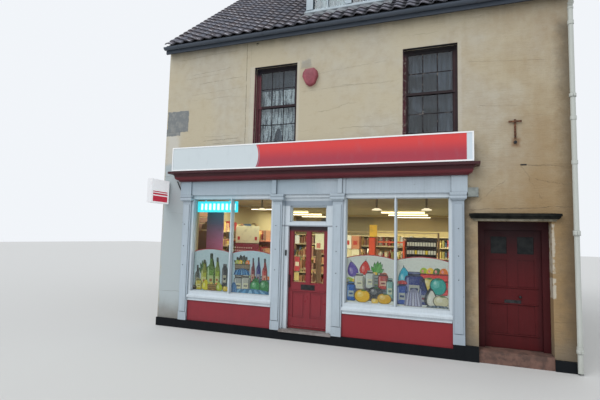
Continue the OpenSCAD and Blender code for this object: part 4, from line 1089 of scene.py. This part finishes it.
clothSettings = {
    "lace": {"colour": (220, 226, 228), "paintedShading": (96, 104, 112), "rough": 0.85, "open": 0.35, "gloom": 0.0,
             "grain": (13, 13, 2.2), "fold": (0.38, 0.56)},
    "drape": {"colour": (92, 100, 112), "paintedShading": (58, 63, 71), "rough": 0.9, "open": 0.0, "gloom": 0.92,
              "grain": (8, 8, 0.6), "fold": (0.25, 0.7)},
    "dormer": {"colour": (168, 182, 186), "paintedShading": (112, 126, 134), "rough": 0.85, "open": 0.0, "gloom": 0.0,
               "grain": (16, 16, 0.2), "fold": (0.36, 0.6)},
}
# Where the drapes look parted, the dark room behind is painted on them as shade: left, right, low, high, how dark
partings = [
    (5.34, 5.8, 4.74, 5.02, 0.75), (5.2, 5.38, 4.66, 4.98, 0.55), (5.39, 5.8, 3.8, 4.36, 0.9),
    (5.2, 5.37, 3.8, 4.62, 0.35), (5.42, 5.82, 4.38, 4.7, 0.4), (2.18, 3.1, 5.02, 5.2, 0.3),
]
# Each one's cloth and window, left, right, how deep it hangs, low, high, folds, and how far they swing
hangings = {
    "leftLace": ("lace", "sash_frames", 2.18, 3.09, 0.238, 3.84, 5.02, 9, 0.014),
    "leftDrape": ("drape", "sash_frames", 2.18, 3.09, 0.262, 3.84, 5.46, 6, 0.01),
    "rightDrape": ("drape", "sash_frames", 5.21, 6.12, 0.242, 3.84, 5.46, 10, 0.016),
    "dormerNet": ("dormer", "dormer_window", 3.24, 3.98, 0.582, 6.81, 7.78, 12, 0.012),
    "dormerDrape": ("drape", "dormer_window", 4.02, 4.76, 0.582, 6.81, 7.78, 6, 0.01),
}
# How finely a curtain is drawn, how its folds wander, how much they calm towards the top, and the
# scalloped opening of the lace: its share of the height and half its share of the width
hangSettings = {
    "perFold": 10, "rows": 26, "loose": 0.5, "twist": 0.5, "climb": 3, "calm": 0.45,
    "archTall": 0.33, "archHalf": 0.13,
}


def clothMaterial(name, s):
    m = Surface(name, s["rough"])
    runs = m.noise(1.6, stretch=s["grain"])
    thread = sine(m.x * 2400) * sine(m.z * 2400)
    flower = between(pingPong(m.cells((1, 0, 0.8), 15, 0.55), 0.17), 0.05, 0.12)
    # Folds are painted: the darker streaks are painted shade in the folds
    m.colour = mixed(between(thread * 0.02 + runs, *s["fold"]), s["paintedShading"], s["colour"])
    # Painted shade of the dark room where the drapes look parted
    if s["gloom"]:
        parted = m.noise(6)
        for *box, amount in partings:
            m.coat(inBox(m.x, m.z, box, 0.05, 0.3, parted) * (amount * s["gloom"]), (26, 27, 29))
    if s["open"]:
        # The net is open between its sprigs
        m.feed("Alpha", 1.0 - (1.0 - flower) * s["open"])
    return m.done(flower * 0.4 + thread, 0.25, 0.002)


cloths = {name: clothMaterial(name + "Cloth", s) for name, s in clothSettings.items()}


def hang(s, name, cloth, window, left, right, deep, low, high, folds, swing):
    rng = random.Random(name)
    bm = bmesh.new()
    columns, rows = folds * s["perFold"], s["rows"]
    phases = [rng.uniform(-s["loose"], s["loose"]) for _ in range(folds + 2)]

    def point(t, h):
        fold = t * folds
        lean = phases[int(fold)] * (1 - fold % 1) + phases[int(fold) + 1] * (fold % 1)
        turn = math.sin(math.tau * fold + lean + s["twist"] * math.sin(s["climb"] * h + fold))
        out = swing * turn * (1.0 - s["calm"] * h)
        return spot(left + (right - left) * t, deep + out, low + (high - low) * h)

    grid = sheetOf(bm, [(j / rows,) for j in range(rows + 1)], columns, point)
    width = sum((b.co - a.co).length for a, b in zip(grid[rows // 2], grid[rows // 2][1:]))
    if cloth == "lace":
        faces = list(bm.faces)
        gone = [faces[j * columns + i] for j in range(rows) for i in range(columns)
                if (j + 0.5) / rows < s["archTall"] * (1 - (((i + 0.5) / columns - 0.5) / s["archHalf"]) ** 2)]
        bmesh.ops.delete(bm, geom=gone, context="FACES")
    area = sum(face.calc_area() for face in bm.faces)
    piece = addPiece(name, bm, cloths[cloth], "net_curtain", smooth=True)
    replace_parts(piece, "curtains")
    round(high - low, 3)
    min(area, width * (high - low))


for name, look in hangings.items():
    hang(hangSettings, name, *look)
print("curtains hung")


# Pictures of a market stall on the shop glass: jars, flasks, pears, round fruit, leaves, crates and cloths

pictureSettings = {
    "low": 0.8, "deep": 0.0865, "layer": 0.00002, "edge": 0.016, "shoulder": 1.615, "crown": 0.062,
    "crownSteps": 24, "inside": 0.004, "border": (150, 36, 46), "plump": 1.12, "ink": 0.86, "vivid": 1.35,
    "darkest": 8, "brightest": 250,
}
# Each light of the windows: its sides, its ground and its shapes from back to front.
# A shape is its kind, percent of the way across, foot, half width and height in mm, colour, and lean if any
pictures = [
    (0.818, 1.69, (152, 171, 176), [
        ("flask", 11, 100, 55, 420, (52, 58, 44)), ("leaves", 30, 300, 130, 340, (62, 92, 50), -6),
        ("flask", 30, 60, 75, 580, (150, 156, 66)), ("flask", 66, 80, 70, 620, (128, 146, 62)),
        ("flask", 49, 40, 95, 740, (92, 124, 58)), ("jar", 87, 80, 60, 500, (50, 52, 54)),
        ("jar", 16, 0, 75, 240, (170, 160, 60)), ("pear", 33, 0, 75, 250, (186, 178, 62), 8),
        ("crate", 55, 0, 115, 170, (120, 94, 48)), ("pear", 75, 0, 65, 210, (150, 160, 60), -10),
        ("disc", 90, 0, 60, 120, (186, 164, 66)), ("disc", 4, 0, 50, 100, (60, 50, 40))]),
    (1.745, 2.617, (154, 176, 184), [
        ("crate", 72, 60, 250, 300, (70, 104, 116)), ("leaves", 26, 520, 200, 260, (40, 46, 42)),
        ("crate", 27, 300, 160, 360, (104, 92, 74)), ("flask", 55, 200, 45, 520, (110, 52, 56)),
        ("flask", 69, 200, 50, 540, (58, 56, 108)), ("flask", 85, 180, 55, 540, (150, 62, 60)),
        ("cloth", 26, 360, 170, 140, (46, 104, 150)), ("jar", 18, 20, 95, 340, (150, 154, 150)),
        ("jar", 37, 20, 90, 360, (166, 168, 160)), ("leaves", 62, 40, 120, 320, (44, 112, 66), 4),
        ("disc", 62, 30, 105, 240, (56, 122, 74)), ("disc", 85, 30, 105, 260, (50, 108, 66)),
        ("cloth", 50, 0, 420, 100, (92, 142, 178)), ("cloth", 6, 0, 70, 220, (76, 122, 168))]),
    (4.173, 5.045, (178, 182, 176), [
        ("crate", 30, 40, 280, 400, (96, 88, 108)), ("crate", 80, 60, 190, 340, (84, 96, 108)),
        ("pear", 16, 460, 85, 300, (84, 64, 136), -12), ("pear", 38, 500, 85, 280, (172, 58, 52), 6),
        ("leaves", 62, 500, 130, 280, (76, 140, 62), 14), ("crate", 66, 340, 170, 220, (120, 126, 124)),
        ("jar", 28, 240, 90, 300, (196, 196, 184)), ("jar", 50, 260, 75, 340, (186, 190, 184)),
        ("jar", 78, 260, 85, 300, (150, 60, 56)), ("jar", 10, 20, 80, 360, (58, 100, 158)),
        ("jar", 92, 100, 60, 380, (124, 158, 152)), ("disc", 62, 60, 130, 240, (48, 50, 56)),
        ("disc", 34, 0, 135, 240, (206, 170, 62)), ("disc", 80, 0, 120, 190, (196, 160, 66)),
        ("pear", 55, 0, 60, 140, (206, 178, 96), 60)]),
    (5.1, 5.972, (178, 182, 174), [
        ("crate", 20, 20, 190, 360, (104, 104, 132)), ("crate", 72, 220, 225, 460, (178, 52, 50)),
        ("disc", 62, 260, 120, 260, (194, 178, 110)), ("disc", 80, 220, 125, 300, (60, 146, 138)),
        ("pear", 16, 340, 95, 360, (66, 156, 176), -4), ("jar", 34, 120, 150, 500, (42, 54, 104)),
        ("jar", 10, 20, 85, 400, (70, 92, 146)), ("cloth", 10, 380, 85, 70, (168, 54, 56)),
        ("flask", 52, 40, 70, 460, (50, 62, 108)), ("cloth", 32, 0, 140, 320, (158, 160, 182)),
        ("pear", 66, 20, 90, 340, (44, 48, 52)), ("pear", 68, 20, 70, 300, (206, 206, 196)),
        ("disc", 86, 20, 125, 200, (196, 192, 166)), ("cloth", 80, 0, 190, 50, (96, 110, 122))]),
]
dark, light, leaf = (26, 28, 30), (236, 238, 232), (58, 92, 50)
label, seal = (206, 204, 176), (150, 60, 50)


def circle(count=22):
    return [(math.cos(i * math.tau / count), math.sin(i * math.tau / count)) for i in range(count)]


def ring(wide, tall, middle, square, shift=0.0):
    # A closed outline, boxy when square is small and round at 1
    return [(shift + wide * math.copysign(abs(c) ** square, c), middle + tall * math.copysign(abs(s) ** square, s))
            for c, s in circle()]


def pearOutline(wide, low, high):
    return [(wide * c * (0.74 - 0.34 * s), (low + high) / 2 + (high - low) / 2 * s) for c, s in circle()]


def leafBlades():
    parts = []
    blade = [(0, 0), (0.2, 0.25), (0.26, 0.55), (0.14, 0.85), (0, 1), (-0.14, 0.85), (-0.26, 0.55), (-0.2, 0.25)]
    for turn in (-58, 54, -34, 30, -10, 12):
        c, s = math.cos(math.radians(turn)), math.sin(math.radians(turn))
        for scale, mix, amount in ((1.0, dark, 0.45), (0.78, light, 0.12 if turn > 0 else 0.0)):
            long = 0.5 + 0.5 * scale
            parts.append(([(c * u * scale + s * v * long, c * v * long - s * u * scale * 0.5) for u, v in blade],
                          mix, amount))
    return parts


# The layers of each kind, 1 wide to each side and 1 high: outline, what it is mixed with, and how much
neck = [(-1, 0.5), (1, 0.5), (0.8, 0.6), (0.34, 0.7), (0.28, 0.92), (-0.28, 0.92), (-0.34, 0.7), (-0.8, 0.6)]
fruits = ((-0.66, (150, 168, 70)), (-0.22, (206, 176, 70)), (0.22, leaf), (0.66, (196, 120, 60)))
shapeLayers = {
    "jar": [
        (ring(1, 0.42, 0.42, 0.3), dark, 0.5), (ring(0.88, 0.385, 0.42, 0.3), dark, 0.0),
        (ring(0.66, 0.15, 0.36, 0.2), label, 0.75), (ring(0.4, 0.05, 0.36, 0.4), dark, 0.35),
        (ring(0.12, 0.3, 0.46, 0.4, -0.66), light, 0.45), (ring(0.2, 0.34, 0.42, 0.4, 0.74), dark, 0.35),
        (ring(0.66, 0.075, 0.9, 0.3), dark, 0.7), (ring(0.6, 0.02, 0.93, 0.4), light, 0.3)],
    "flask": [
        (ring(1, 0.27, 0.27, 0.25), dark, 0.5), (neck, dark, 0.25), (ring(0.86, 0.25, 0.27, 0.25), dark, 0.0),
        (ring(0.62, 0.13, 0.24, 0.2), label, 0.6), (ring(0.3, 0.04, 0.24, 0.4), seal, 0.6),
        (ring(0.13, 0.24, 0.36, 0.4, -0.62), light, 0.5), (ring(0.18, 0.22, 0.28, 0.4, 0.74), dark, 0.4),
        (ring(0.34, 0.075, 0.92, 0.3), dark, 0.75)],
    "pear": [
        (pearOutline(1.35, 0, 0.95), dark, 0.5), (pearOutline(1.2, 0.03, 0.92), dark, 0.0),
        (ring(0.34, 0.22, 0.4, 1, -0.34), light, 0.35), (ring(0.14, 0.1, 0.46, 1, -0.42), light, 0.6),
        (ring(0.07, 0.07, 0.97, 0.6), dark, 0.8)],
    "leaves": leafBlades(),
    "crate": [
        *((ring(0.28, 0.2, 0.82, 1, shift), fill, 1.0) for shift, fill in fruits),
        *((ring(0.08, 0.06, 0.88, 1, shift - 0.08), light, 0.5) for shift, fill in fruits),
        ([(-0.9, 0), (0.9, 0), (1, 0.8), (-1, 0.8)], dark, 0.45),
        *(([(-0.92, low), (0.92, low), (0.94, low + 0.19), (-0.94, low + 0.19)], light, tone)
          for low, tone in ((0.03, 0.0), (0.29, 0.06), (0.55, 0.12)))],
    "cloth": [
        ([(-1, 0), (1, 0), (0.86, 0.6), (0.5, 0.86), (0.1, 1), (-0.4, 0.84), (-0.82, 0.66)], dark, 0.25),
        *(([(at - 0.1, 0.04), (at + 0.1, 0.04), (at * 0.7 + 0.04, 0.76), (at * 0.7 - 0.04, 0.76)], light, tone)
          for at, tone in ((-0.7, 0.3), (-0.35, 0.1), (0.0, 0.4), (0.32, 0.15), (0.66, 0.3)))],
    "disc": [
        (ring(1, 0.5, 0.5, 0.9), dark, 0.5), (ring(0.88, 0.45, 0.5, 0.9), dark, 0.0),
        (ring(0.4, 0.22, 0.62, 1, -0.24), light, 0.3), (ring(0.16, 0.09, 0.7, 1, -0.34), light, 0.6),
        (ring(0.34, 0.06, 0.92, 1, 0.16), leaf, 0.8)],
}


def pictureVinyl():
    m = Surface("pictureVinyl", 0.35)
    dots = m.noise(60, 4, 0.7)
    m.colour = m.stored("ink", "Color")
    m.coat(between(m.noise(5, 5, 0.65), 0.5, 0.8, 0, 0.2), (176, 186, 190))
    m.coat(between(dots, 0.5, 0.66, 0, 0.3), (96, 92, 88), "MULTIPLY")
    m.coat(between(dots, 0.42, 0.32, 0, 0.35), (206, 204, 186))
    return m.done(dots, 0.05, 0.002)


def layersOf(s, left, right, shapes):
    # The outline and colour of every layer of the shapes on one light
    inset = s["inside"]
    for kind, share, foot, halfWide, tall, colour, *lean in shapes:
        foot, halfWide, tall = foot / 1000, halfWide / 1000, tall / 1000
        turn = math.radians(*lean or [0])
        cosTurn, sinTurn = math.cos(turn), math.sin(turn)
        for outline, mix, amount in shapeLayers[kind]:
            points = []
            for u, v in outline:
                a, b = u * halfWide * s["plump"], v * tall
                across = left + share / 100 * (right - left) + cosTurn * a + sinTurn * b
                high = s["low"] + foot + cosTurn * b - sinTurn * a
                points.append((min(max(across, left + inset), right - inset), max(high, s["low"] + inset)))
            tone = [(v + (w - v) * amount) * s["ink"] for v, w in zip(colour, mix)]
            grey = sum(tone) / 3
            yield points, [min(max(grey + (v - grey) * s["vivid"], s["darkest"]), s["brightest"]) for v in tone]


def stickPictures(s):
    material = pictureVinyl()
    for index, (left, right, ground, shapes) in enumerate(pictures):
        bm = inkedMesh()
        shares = [i / s["crownSteps"] for i in range(s["crownSteps"] + 1)]
        crown = [(right - (right - left) * t, s["shoulder"] + s["crown"] * (1 - (2 * t - 1) ** 2)) for t in shares]
        base = [(left, s["low"]), (right, s["low"])]
        layers = [(base + crown, s["border"]), (base + [(u, high - s["edge"]) for u, high in crown], ground)]
        # Each later layer lies a little nearer to the glass
        for rank, (points, colour) in enumerate([*layers, *layersOf(s, left, right, shapes)]):
            verts = [bm.verts.new(spot(u, s["deep"] - s["layer"] * rank, high)) for u, high in points]
            inked(bm, verts, colour)
            bm.faces.new(verts)
        bmesh.ops.triangulate(bm, faces=bm.faces)
        for face in bm.faces:
            if face.normal.y > 0:
                face.normal_flip()
        settle(meshOf(bm, "windowPicture%d" % (index + 1)), material, "sign_panel")


stickPictures(pictureSettings)
print("pictures on the shop glass")


# Goods on the shelves

goodsSettings = {
    "step": 0.083, "low": 0.15, "high": 0.27, "depth": 0.3, "board": 0.026,
    "filled": 0.86, "jarRadius": 0.46, "neck": 0.38, "label": (222, 206, 170), "wear": (90, 66, 50),
}
goodsColours = [
    (222, 206, 164), (178, 130, 96), (164, 60, 54), (230, 208, 118), (110, 88, 62), (214, 184, 108),
    (88, 108, 130), (230, 226, 210), (142, 132, 74), (198, 158, 112), (66, 60, 58), (184, 138, 116),
]
# Each row's start, the way it runs, length, foot, rise of its boards and their number
shelfRows = {
    "goodsBack": (0.5, 7.12, "along", 6.2, 0.28, 0.349, 5),
    "goodsLeft": (0.67, 0.95, "inwards", 2.6, 0.28, 0.349, 6),
    "goodsMiddle": (3.02, 3.92, "along", 2.6, 0.28, 0.369, 5),
    "goodsAisle": (1.49, 3.92, "along", 0.8, 0.28, 0.369, 5),
    "goodsWindow": (0.86, 1.29, "along", 1.16, 1.474, 0.36, 2),
}


def goodsTree(s):
    tree, start = newTree("shelfGoods", "step low high depth", "count seed")
    carton = addNode(tree, "MeshCube", {"Size": (1, 1, 1), "Vertices X": 2, "Vertices Y": 2, "Vertices Z": 4})
    jar = addNode(tree, "MeshCylinder", {
        "Vertices": 10, "Side Segments": 6, "Radius": s["jarRadius"], "Depth": 1.0})
    x, y, z = split(addNode(tree, "InputPosition"))
    neck = between(z, 0.12, 0.34, 1.0, s["neck"])
    kinds = []
    for shape in (carton, moved(jar, Position=joined(x * neck, y * neck, z))):
        marked = addNode(tree, "StoreNamedAttribute", {
            "Geometry": moved(shape, Offset=(0, 0, 0.5)), "Name": "tall", "Value": z + 0.0},
            data_type="FLOAT", domain="POINT")
        kinds.append(addNode(tree, "GeometryToInstance", {0: marked}))
    line = inRow(start.count, Offset=joined(start.step, 0.0, 0.0))
    size = joined(start.step * s["filled"], start.depth, randomly(tree, start.low, start.high, start.seed))
    pick = addNode(tree, "FunctionNodeRandomValue", {4: 0, 5: 1, 8: start.seed}, 2, data_type="INT")
    return closeTree(start, copied(line, togetherIn(*kinds), 17, Scale=size, **{
        "Pick Instance": True, "Instance Index": pick}))


def goodsPrint(s, colours):
    m = Surface("goodsPrint", 0.45)
    tone, tall = m.stored("tone"), m.stored("tall")
    ramp = addNode(m.tree, "ValToRGB", {0: tone}, None)
    ramp.color_ramp.interpolation = "CONSTANT"
    points = ramp.color_ramp.elements
    points[1].position = 1 / len(colours)
    for index, colour in enumerate(colours):
        point = points[index] if index < 2 else points.new(index / len(colours))
        point.color = (*linear(colour), 1)
    m.colour = Wire(ramp.outputs[0])
    labelled = between(tall, -0.2, -0.19) * between(tall, 0.16, 0.15) * (fraction(tone * 7.3) > 0.4)
    m.coat(labelled * 0.7, s["label"])
    speck = m.noise(34, 4, 0.7)
    m.coat(between(speck, 0.52, 0.62, 0, 0.45), s["wear"])
    return m.done(speck, 0.1, 0.002)


def fillShelves(s):
    tree = goodsTree(s)
    material = goodsPrint(s, goodsColours)
    for name, (across, deep, way, length, foot, gap, boards) in shelfRows.items():
        rows = []
        for board in range(boards):
            place = Matrix.Translation(spot(across, deep, foot + s["board"] + board * gap))
            if way == "inwards":
                place = place @ Matrix.Rotation(math.pi / 2, 4, "Z")
            place = place @ Matrix.Translation((s["step"] / 2, s["depth"] / 2, 0))
            rows.append(({**s, "count": int(length / s["step"]), "seed": board * 7 + len(name)}, place))
        grownRows(tree, name, rows, material, "shelf_paint")


fillShelves(goodsSettings)
print("shelves filled")


# Stands, boxes and boards inside the shop: left, right, front, back, low, high, colour

standBoxes = [
    (0.3, 3.3, 7.535, 7.548, 0.2, 2.72, (104, 92, 64)),
    (3.3, 7.6, 7.535, 7.548, 0.2, 2.24, (178, 158, 110)),
    (3.3, 7.6, 7.535, 7.548, 2.24, 2.72, (122, 104, 68)),
    (1.16, 1.77, 1.26, 1.27, 1.79, 2.19, (230, 216, 172)),
    (1.16, 1.77, 1.25, 1.27, 1.55, 1.77, (140, 52, 60)),
    (1.21, 1.27, 1.255, 1.262, 1.86, 1.94, (190, 60, 50)),
    (1.66, 1.72, 1.255, 1.262, 1.86, 1.94, (190, 60, 50)),
    (2.3, 2.75, 4.4, 4.42, 2.2, 2.52, (84, 86, 84)),
    (0.86, 2.02, 1.6, 1.64, 0.2, 2.1, (150, 96, 62)),
    (0.86, 2.02, 1.28, 1.6, 1.83, 1.86, (206, 120, 84)),
    (0.86, 2.02, 1.28, 1.6, 1.46, 1.5, (206, 120, 84)),
    (3.88, 4.04, 3.7, 3.86, 0.2, 1.99, (206, 78, 48)),
    (3.9, 4.1, 3.66, 3.7, 2.01, 2.33, (232, 184, 66)),
    (4.8, 4.84, 3.52, 3.9, 0.2, 1.92, (206, 82, 48)),
    (4.16, 4.8, 3.52, 3.55, 1.86, 1.9, (206, 96, 60)),
    (4.86, 5.62, 3.86, 3.9, 0.2, 2.02, (44, 42, 44)),
    (4.86, 5.62, 3.7, 3.86, 1.565, 1.585, (52, 50, 52)),
    (4.86, 5.62, 3.7, 3.86, 1.775, 1.795, (52, 50, 52)),
    (3.5, 3.7, 1.05, 1.06, 1.78, 2.05, (232, 220, 160)),
]
# A tall printed panel fades from teal to rose, its teal top partly painted glow of the lit window sign:
# its left, right, front, back and bevel, then each part's low, high, colour at the top and colour at the foot
panelBox = (0.77, 1.19, 0.6, 0.63, 0.002)
fadingPanel = [
    (2.2, 2.62, (38, 128, 142), (104, 100, 128)), (1.8, 2.2, (112, 100, 126), (172, 100, 130)),
    (0.2, 1.8, (172, 100, 130), (196, 104, 120)),
]
cream, buff, chalk, rust, straw = (226, 214, 176), (206, 186, 140), (236, 230, 204), (200, 134, 96), (220, 204, 160)
crimson, pale, amber, black, dash = (186, 62, 48), (206, 204, 194), (214, 190, 60), (40, 38, 40), (228, 206, 190)
plank, worn = (126, 94, 78), (150, 112, 84)
# Rows of equal blocks: how many, the step aside and up, the first one's left, right, front, back, low, high
# and bevel, and the colours that the row runs through
standRows = [
    # Slatted boards on the party wall by the window
    (14, 0, 0.15, 0.252, 0.275, 0.47, 1.75, 0.6, 0.728, 0.004, (worn, plank, plank)),
    # Two heaps of cartons at the end of the shelves, and a mark on each carton
    (5, 0, 0.368, 3.22, 3.42, 3.6, 3.86, 0.2, 0.552, 0.005, (cream, rust, buff, straw, chalk)),
    (5, 0, 0.368, 3.27, 3.37, 3.592, 3.605, 0.31, 0.42, 0.002, (crimson, rust, crimson, cream, crimson)),
    (5, 0, 0.368, 3.43, 3.64, 3.58, 3.86, 0.2, 0.552, 0.005, (buff, straw, chalk, cream, rust)),
    (5, 0, 0.368, 3.48, 3.59, 3.572, 3.605, 0.31, 0.42, 0.002, (crimson, straw, crimson, buff, crimson)),
    # Bottles and their caps on the dark rack
    (11, 0.067, 0, 4.88, 4.932, 3.72, 3.78, 1.585, 1.685, 0.006, (pale, pale, pale, amber)),
    (11, 0.067, 0, 4.88, 4.932, 3.72, 3.78, 1.795, 1.895, 0.006, (pale,)),
    (11, 0.067, 0, 4.892, 4.92, 3.735, 3.765, 1.685, 1.755, 0.005, (black,)),
    (11, 0.067, 0, 4.892, 4.92, 3.735, 3.765, 1.895, 1.965, 0.005, (black,)),
    # Dashes along the maroon band
    (9, 0.061, 0, 1.085, 1.127, 1.245, 1.25, 1.6, 1.626, 0.001, (dash,)),
    (9, 0.061, 0, 1.085, 1.115, 1.245, 1.25, 1.665, 1.691, 0.001, (dash,)),
]
# Left, right, low, high, back and colour of each notice on the door, and their thickness
noticeThin = 0.0004
doorNotices = [
    (3.52, 3.698, 1.74, 2.04, 0.1452, (232, 220, 166)), (3.55, 3.63, 1.76, 1.86, 0.1447, (206, 120, 90)),
    (3.1, 3.19, 1.84, 2.0, 0.1452, (228, 218, 186)), (3.1, 3.21, 1.3, 1.58, 0.1452, (186, 56, 50)),
    (3.115, 3.195, 1.4, 1.48, 0.1447, (226, 208, 160)), (3.1, 3.2, 1.12, 1.27, 0.1452, (206, 176, 96)),
]


def printedBoard():
    m = Surface("printedBoard", 0.5)
    blotch = m.noise(7, 5, 0.65)
    m.colour = m.stored("ink", "Color")
    m.coat(between(blotch, 0.5, 0.72, 0, 0.3), (96, 74, 60))
    return m.done(blotch, 0.15, 0.004)


def placeStands():
    bm = inkedMesh()
    for *box, colour in standBoxes:
        boxIn(bm, *box, min(0.006, (box[3] - box[2]) * 0.3, (box[5] - box[4]) * 0.3), colour)
    *sides, bevel = panelBox
    for low, high, top, foot in fadingPanel:
        verts = boxIn(bm, *sides, low, high, bevel, top)
        inked(bm, [v for v in verts if v.co.z < (low + high) / 2], foot)
    for count, aside, up, left, right, front, back, low, high, bevel, colours in standRows:
        for i in range(count):
            boxIn(bm, left + i * aside, right + i * aside, front, back, low + i * up, high + i * up, bevel,
                  colours[i % len(colours)])
    material = printedBoard()
    addPiece("shopStands", bm, material, "shelf_paint")
    bm = inkedMesh()
    for left, right, low, high, back, colour in doorNotices:
        boxIn(bm, left, right, back - noticeThin, back, low, high, noticeThin / 4, colour)
    addPiece("doorNotices", bm, material, "sign_panel", "shop_door")


placeStands()
print("shop furnished")


# Small ironmongery and trims

# A box is its left, right, front, back, low, high and bevel; a rod its radius, sides and points
trims = {
    "shopDoorBeads": {"paint": "doorRed", "slot": "door_red", "body": "shop_door", "on": "shop_door", "boxes": [
        (3.03, 3.76, -0.016, 0.002, 0.915, 0.939, 0.006),
        (3.03, 3.76, -0.014, 0.002, 0.243, 0.267, 0.006)]},
    "sideDoorBeads": {"paint": "sideRed", "slot": "door_red", "body": "side_door", "on": "side_door", "boxes": [
        (6.6, 7.37, -0.014, 0.002, low, low + 0.022, 0.006) for low in (1.2, 0.93, 0.42)]},
    # Bell push, corner catches, hook, small brackets, a pipe stub, and small pins beside the shop windows
    "frontIronmongery": {"paint": "darkIron", "slot": "dark_iron", "boxes": [
        (2.952, 2.988, -0.012, 0.002, 1.6, 1.71, 0.005),
        (2.939, 2.971, 0.052, 0.078, 2.15, 2.2, 0.004),
        (3.769, 3.801, 0.052, 0.078, 2.15, 2.2, 0.004),
        (0.455, 0.485, -0.012, 0.002, 2.9, 3.09, 0.003),
        (7.1, 7.19, -0.006, 0.002, 3.24, 3.262, 0.002)],
        "rods": [
            (0.01, 10, (2.97, -0.012, 1.665), (2.97, -0.02, 1.665)),
            (0.009, 8, (2.22, 0.01, 5.99), (2.22, -0.05, 5.985), (2.22, -0.075, 5.96), (2.22, -0.065, 5.93)),
            (0.012, 8, (0.47, -0.01, 2.915), (0.47, -0.07, 2.98), (0.47, -0.13, 3.06), (0.47, -0.15, 3.088)),
            (0.026, 14, (7.03, 0.01, 3.63), (7.03, -0.03, 3.63)),
            *((0.009, 8, (across, -0.09, high), (across, -0.101, high))
              for across in (0.655, 2.78, 4.01, 6.135) for high in (1.32, 1.72, 2.18))]},
    # Thin boards line the reveals of the front sashes, out to the wall's face
    "sashLinings": {"paint": "brownPaint", "slot": "brown_paint", "boxes": [
        (left + start, left + end, 0.001, 0.06, low, 5.48, 0.002) for left in (2.16, 5.19)
        for start, end, low in ((0.0, 0.012, 3.8), (0.938, 0.95, 3.8), (0.012, 0.938, 5.468))]},
    # Two narrow boards stand above the capitals beside the shop door
    "friezeStrips": {"paint": "whitePaint", "slot": "white_paint", "boxes": [
        (left, right, -0.086, -0.068, 2.806, 3.088, 0.003) for left, right in ((2.665, 2.756), (4.012, 4.098))]},
    # A rounded lip runs under each shop sill
    "sillBeads": {"paint": "frameWhite", "slot": "white_paint", "boxes": [
        (left, right, -0.01, 0.002, 0.588, 0.612, 0.003) for left, right in ((0.76, 2.675), (4.115, 6.03))],
        "rods": [(0.013, 12, (left, -0.02, 0.6), (right, -0.02, 0.6))
                 for left, right in ((0.76, 2.675), (4.115, 6.03))]},
}
# The alarm's cover: its outline, across and high, and each ring's share of it and how far it stands out
alarmSettings = {
    "outline": [(3.3, 5.3), (3.48, 5.312), (3.54, 5.25), (3.562, 5.15), (3.5, 5.0),
                (3.43, 4.955), (3.38, 4.95), (3.318, 4.992), (3.24, 5.15), (3.252, 5.235)],
    "rings": ((1.0, 0.0), (1.0, 0.055), (0.93, 0.078), (0.8, 0.084), (0.4, 0.092)),
}


def alarmCover(s):
    # The face is drawn in from the rim and a little domed
    middle = [sum(values) / len(values) for values in zip(*s["outline"])]
    bm = bmesh.new()
    closeRings(bm, [[bm.verts.new(spot(
        middle[0] + (u - middle[0]) * share, -out, middle[1] + (high - middle[1]) * share))
        for u, high in s["outline"]] for share, out in s["rings"]])
    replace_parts(addPiece("alarmCover", bm, paints["alarmRed"], "alarm_red"), "alarm_box")


for name, s in trims.items():
    addTrim(name, s)
alarmCover(alarmSettings)
print("small pieces fixed")


# Stage and light

# Each lamp in the shop: across, deep, width, length and power
stageSettings = {
    "half": 60, "floor": (205, 205, 203), "sky": (0.93, 0.96, 1.0), "skyStrength": 0.86, "skySeen": 0.95,
    "sun": 1.1, "sunWide": 40, "sunTurn": (42, -14, -12), "lampHigh": 2.76, "shopColour": (0.96, 0.99, 0.83),
    "shopLights": {"windowLight": (3.5, 1.6, 6.0, 1.6, 165), "aisleLight": (3.9, 5.6, 6.6, 2.4, 262)},
}


def addStage(s):
    mesh = bpy.data.meshes.new("stageFloor")
    half = s["half"]
    mesh.from_pydata([(-half, -half, 0), (half, -half, 0), (half, half, 0), (-half, half, 0)], [], [(0, 1, 2, 3)])
    floor = inScene("stageFloor", mesh)
    m = Surface("stageFloor", 0.9)
    m.feed("Base Color", (*linear(s["floor"]), 1))
    mesh.materials.append(m.material)


def addSky(s):
    # What is seen of the sky is a little brighter than what lights the house
    world = bpy.data.worlds.new("softSky")
    bpy.context.scene.world = world
    world.use_nodes = True
    tree = world.node_tree
    tree.nodes.clear()
    light, seen = (addNode(tree, "Background", {"Color": (*s["sky"], 1), "Strength": strength})
                   for strength in (s["skyStrength"], s["skySeen"]))
    path = tree.nodes.new("ShaderNodeLightPath").outputs
    camera, through, mirrored = (Wire(path["Is %s Ray" % kind]) for kind in ("Camera", "Transmission", "Glossy"))
    both = addNode(tree, "MixShader", {0: larger(larger(camera, through), mirrored), 1: light, 2: seen})
    tree.links.new(both.socket, tree.nodes.new("ShaderNodeOutputWorld").inputs[0])


def addLamps(s):
    for name, (across, deep, wide, long, power) in s["shopLights"].items():
        panel = bpy.data.lights.new(name, "AREA")
        panel.shape, panel.color = "RECTANGLE", s["shopColour"]
        panel.size, panel.size_y, panel.energy = wide, long, power
        lamp = inScene(name, panel)
        lamp.location = spot(across, deep, s["lampHigh"])
        lamp.visible_camera = lamp.visible_transmission = lamp.visible_glossy = False
    light = bpy.data.lights.new("softSun", "SUN")
    light.energy, light.angle = s["sun"], math.radians(s["sunWide"])
    inScene("softSun", light).rotation_euler = [math.radians(angle) for angle in s["sunTurn"]]


addStage(stageSettings)
addSky(stageSettings)
addLamps(stageSettings)
bpy.context.scene.view_settings.view_transform = "Standard"
print("stage lit")
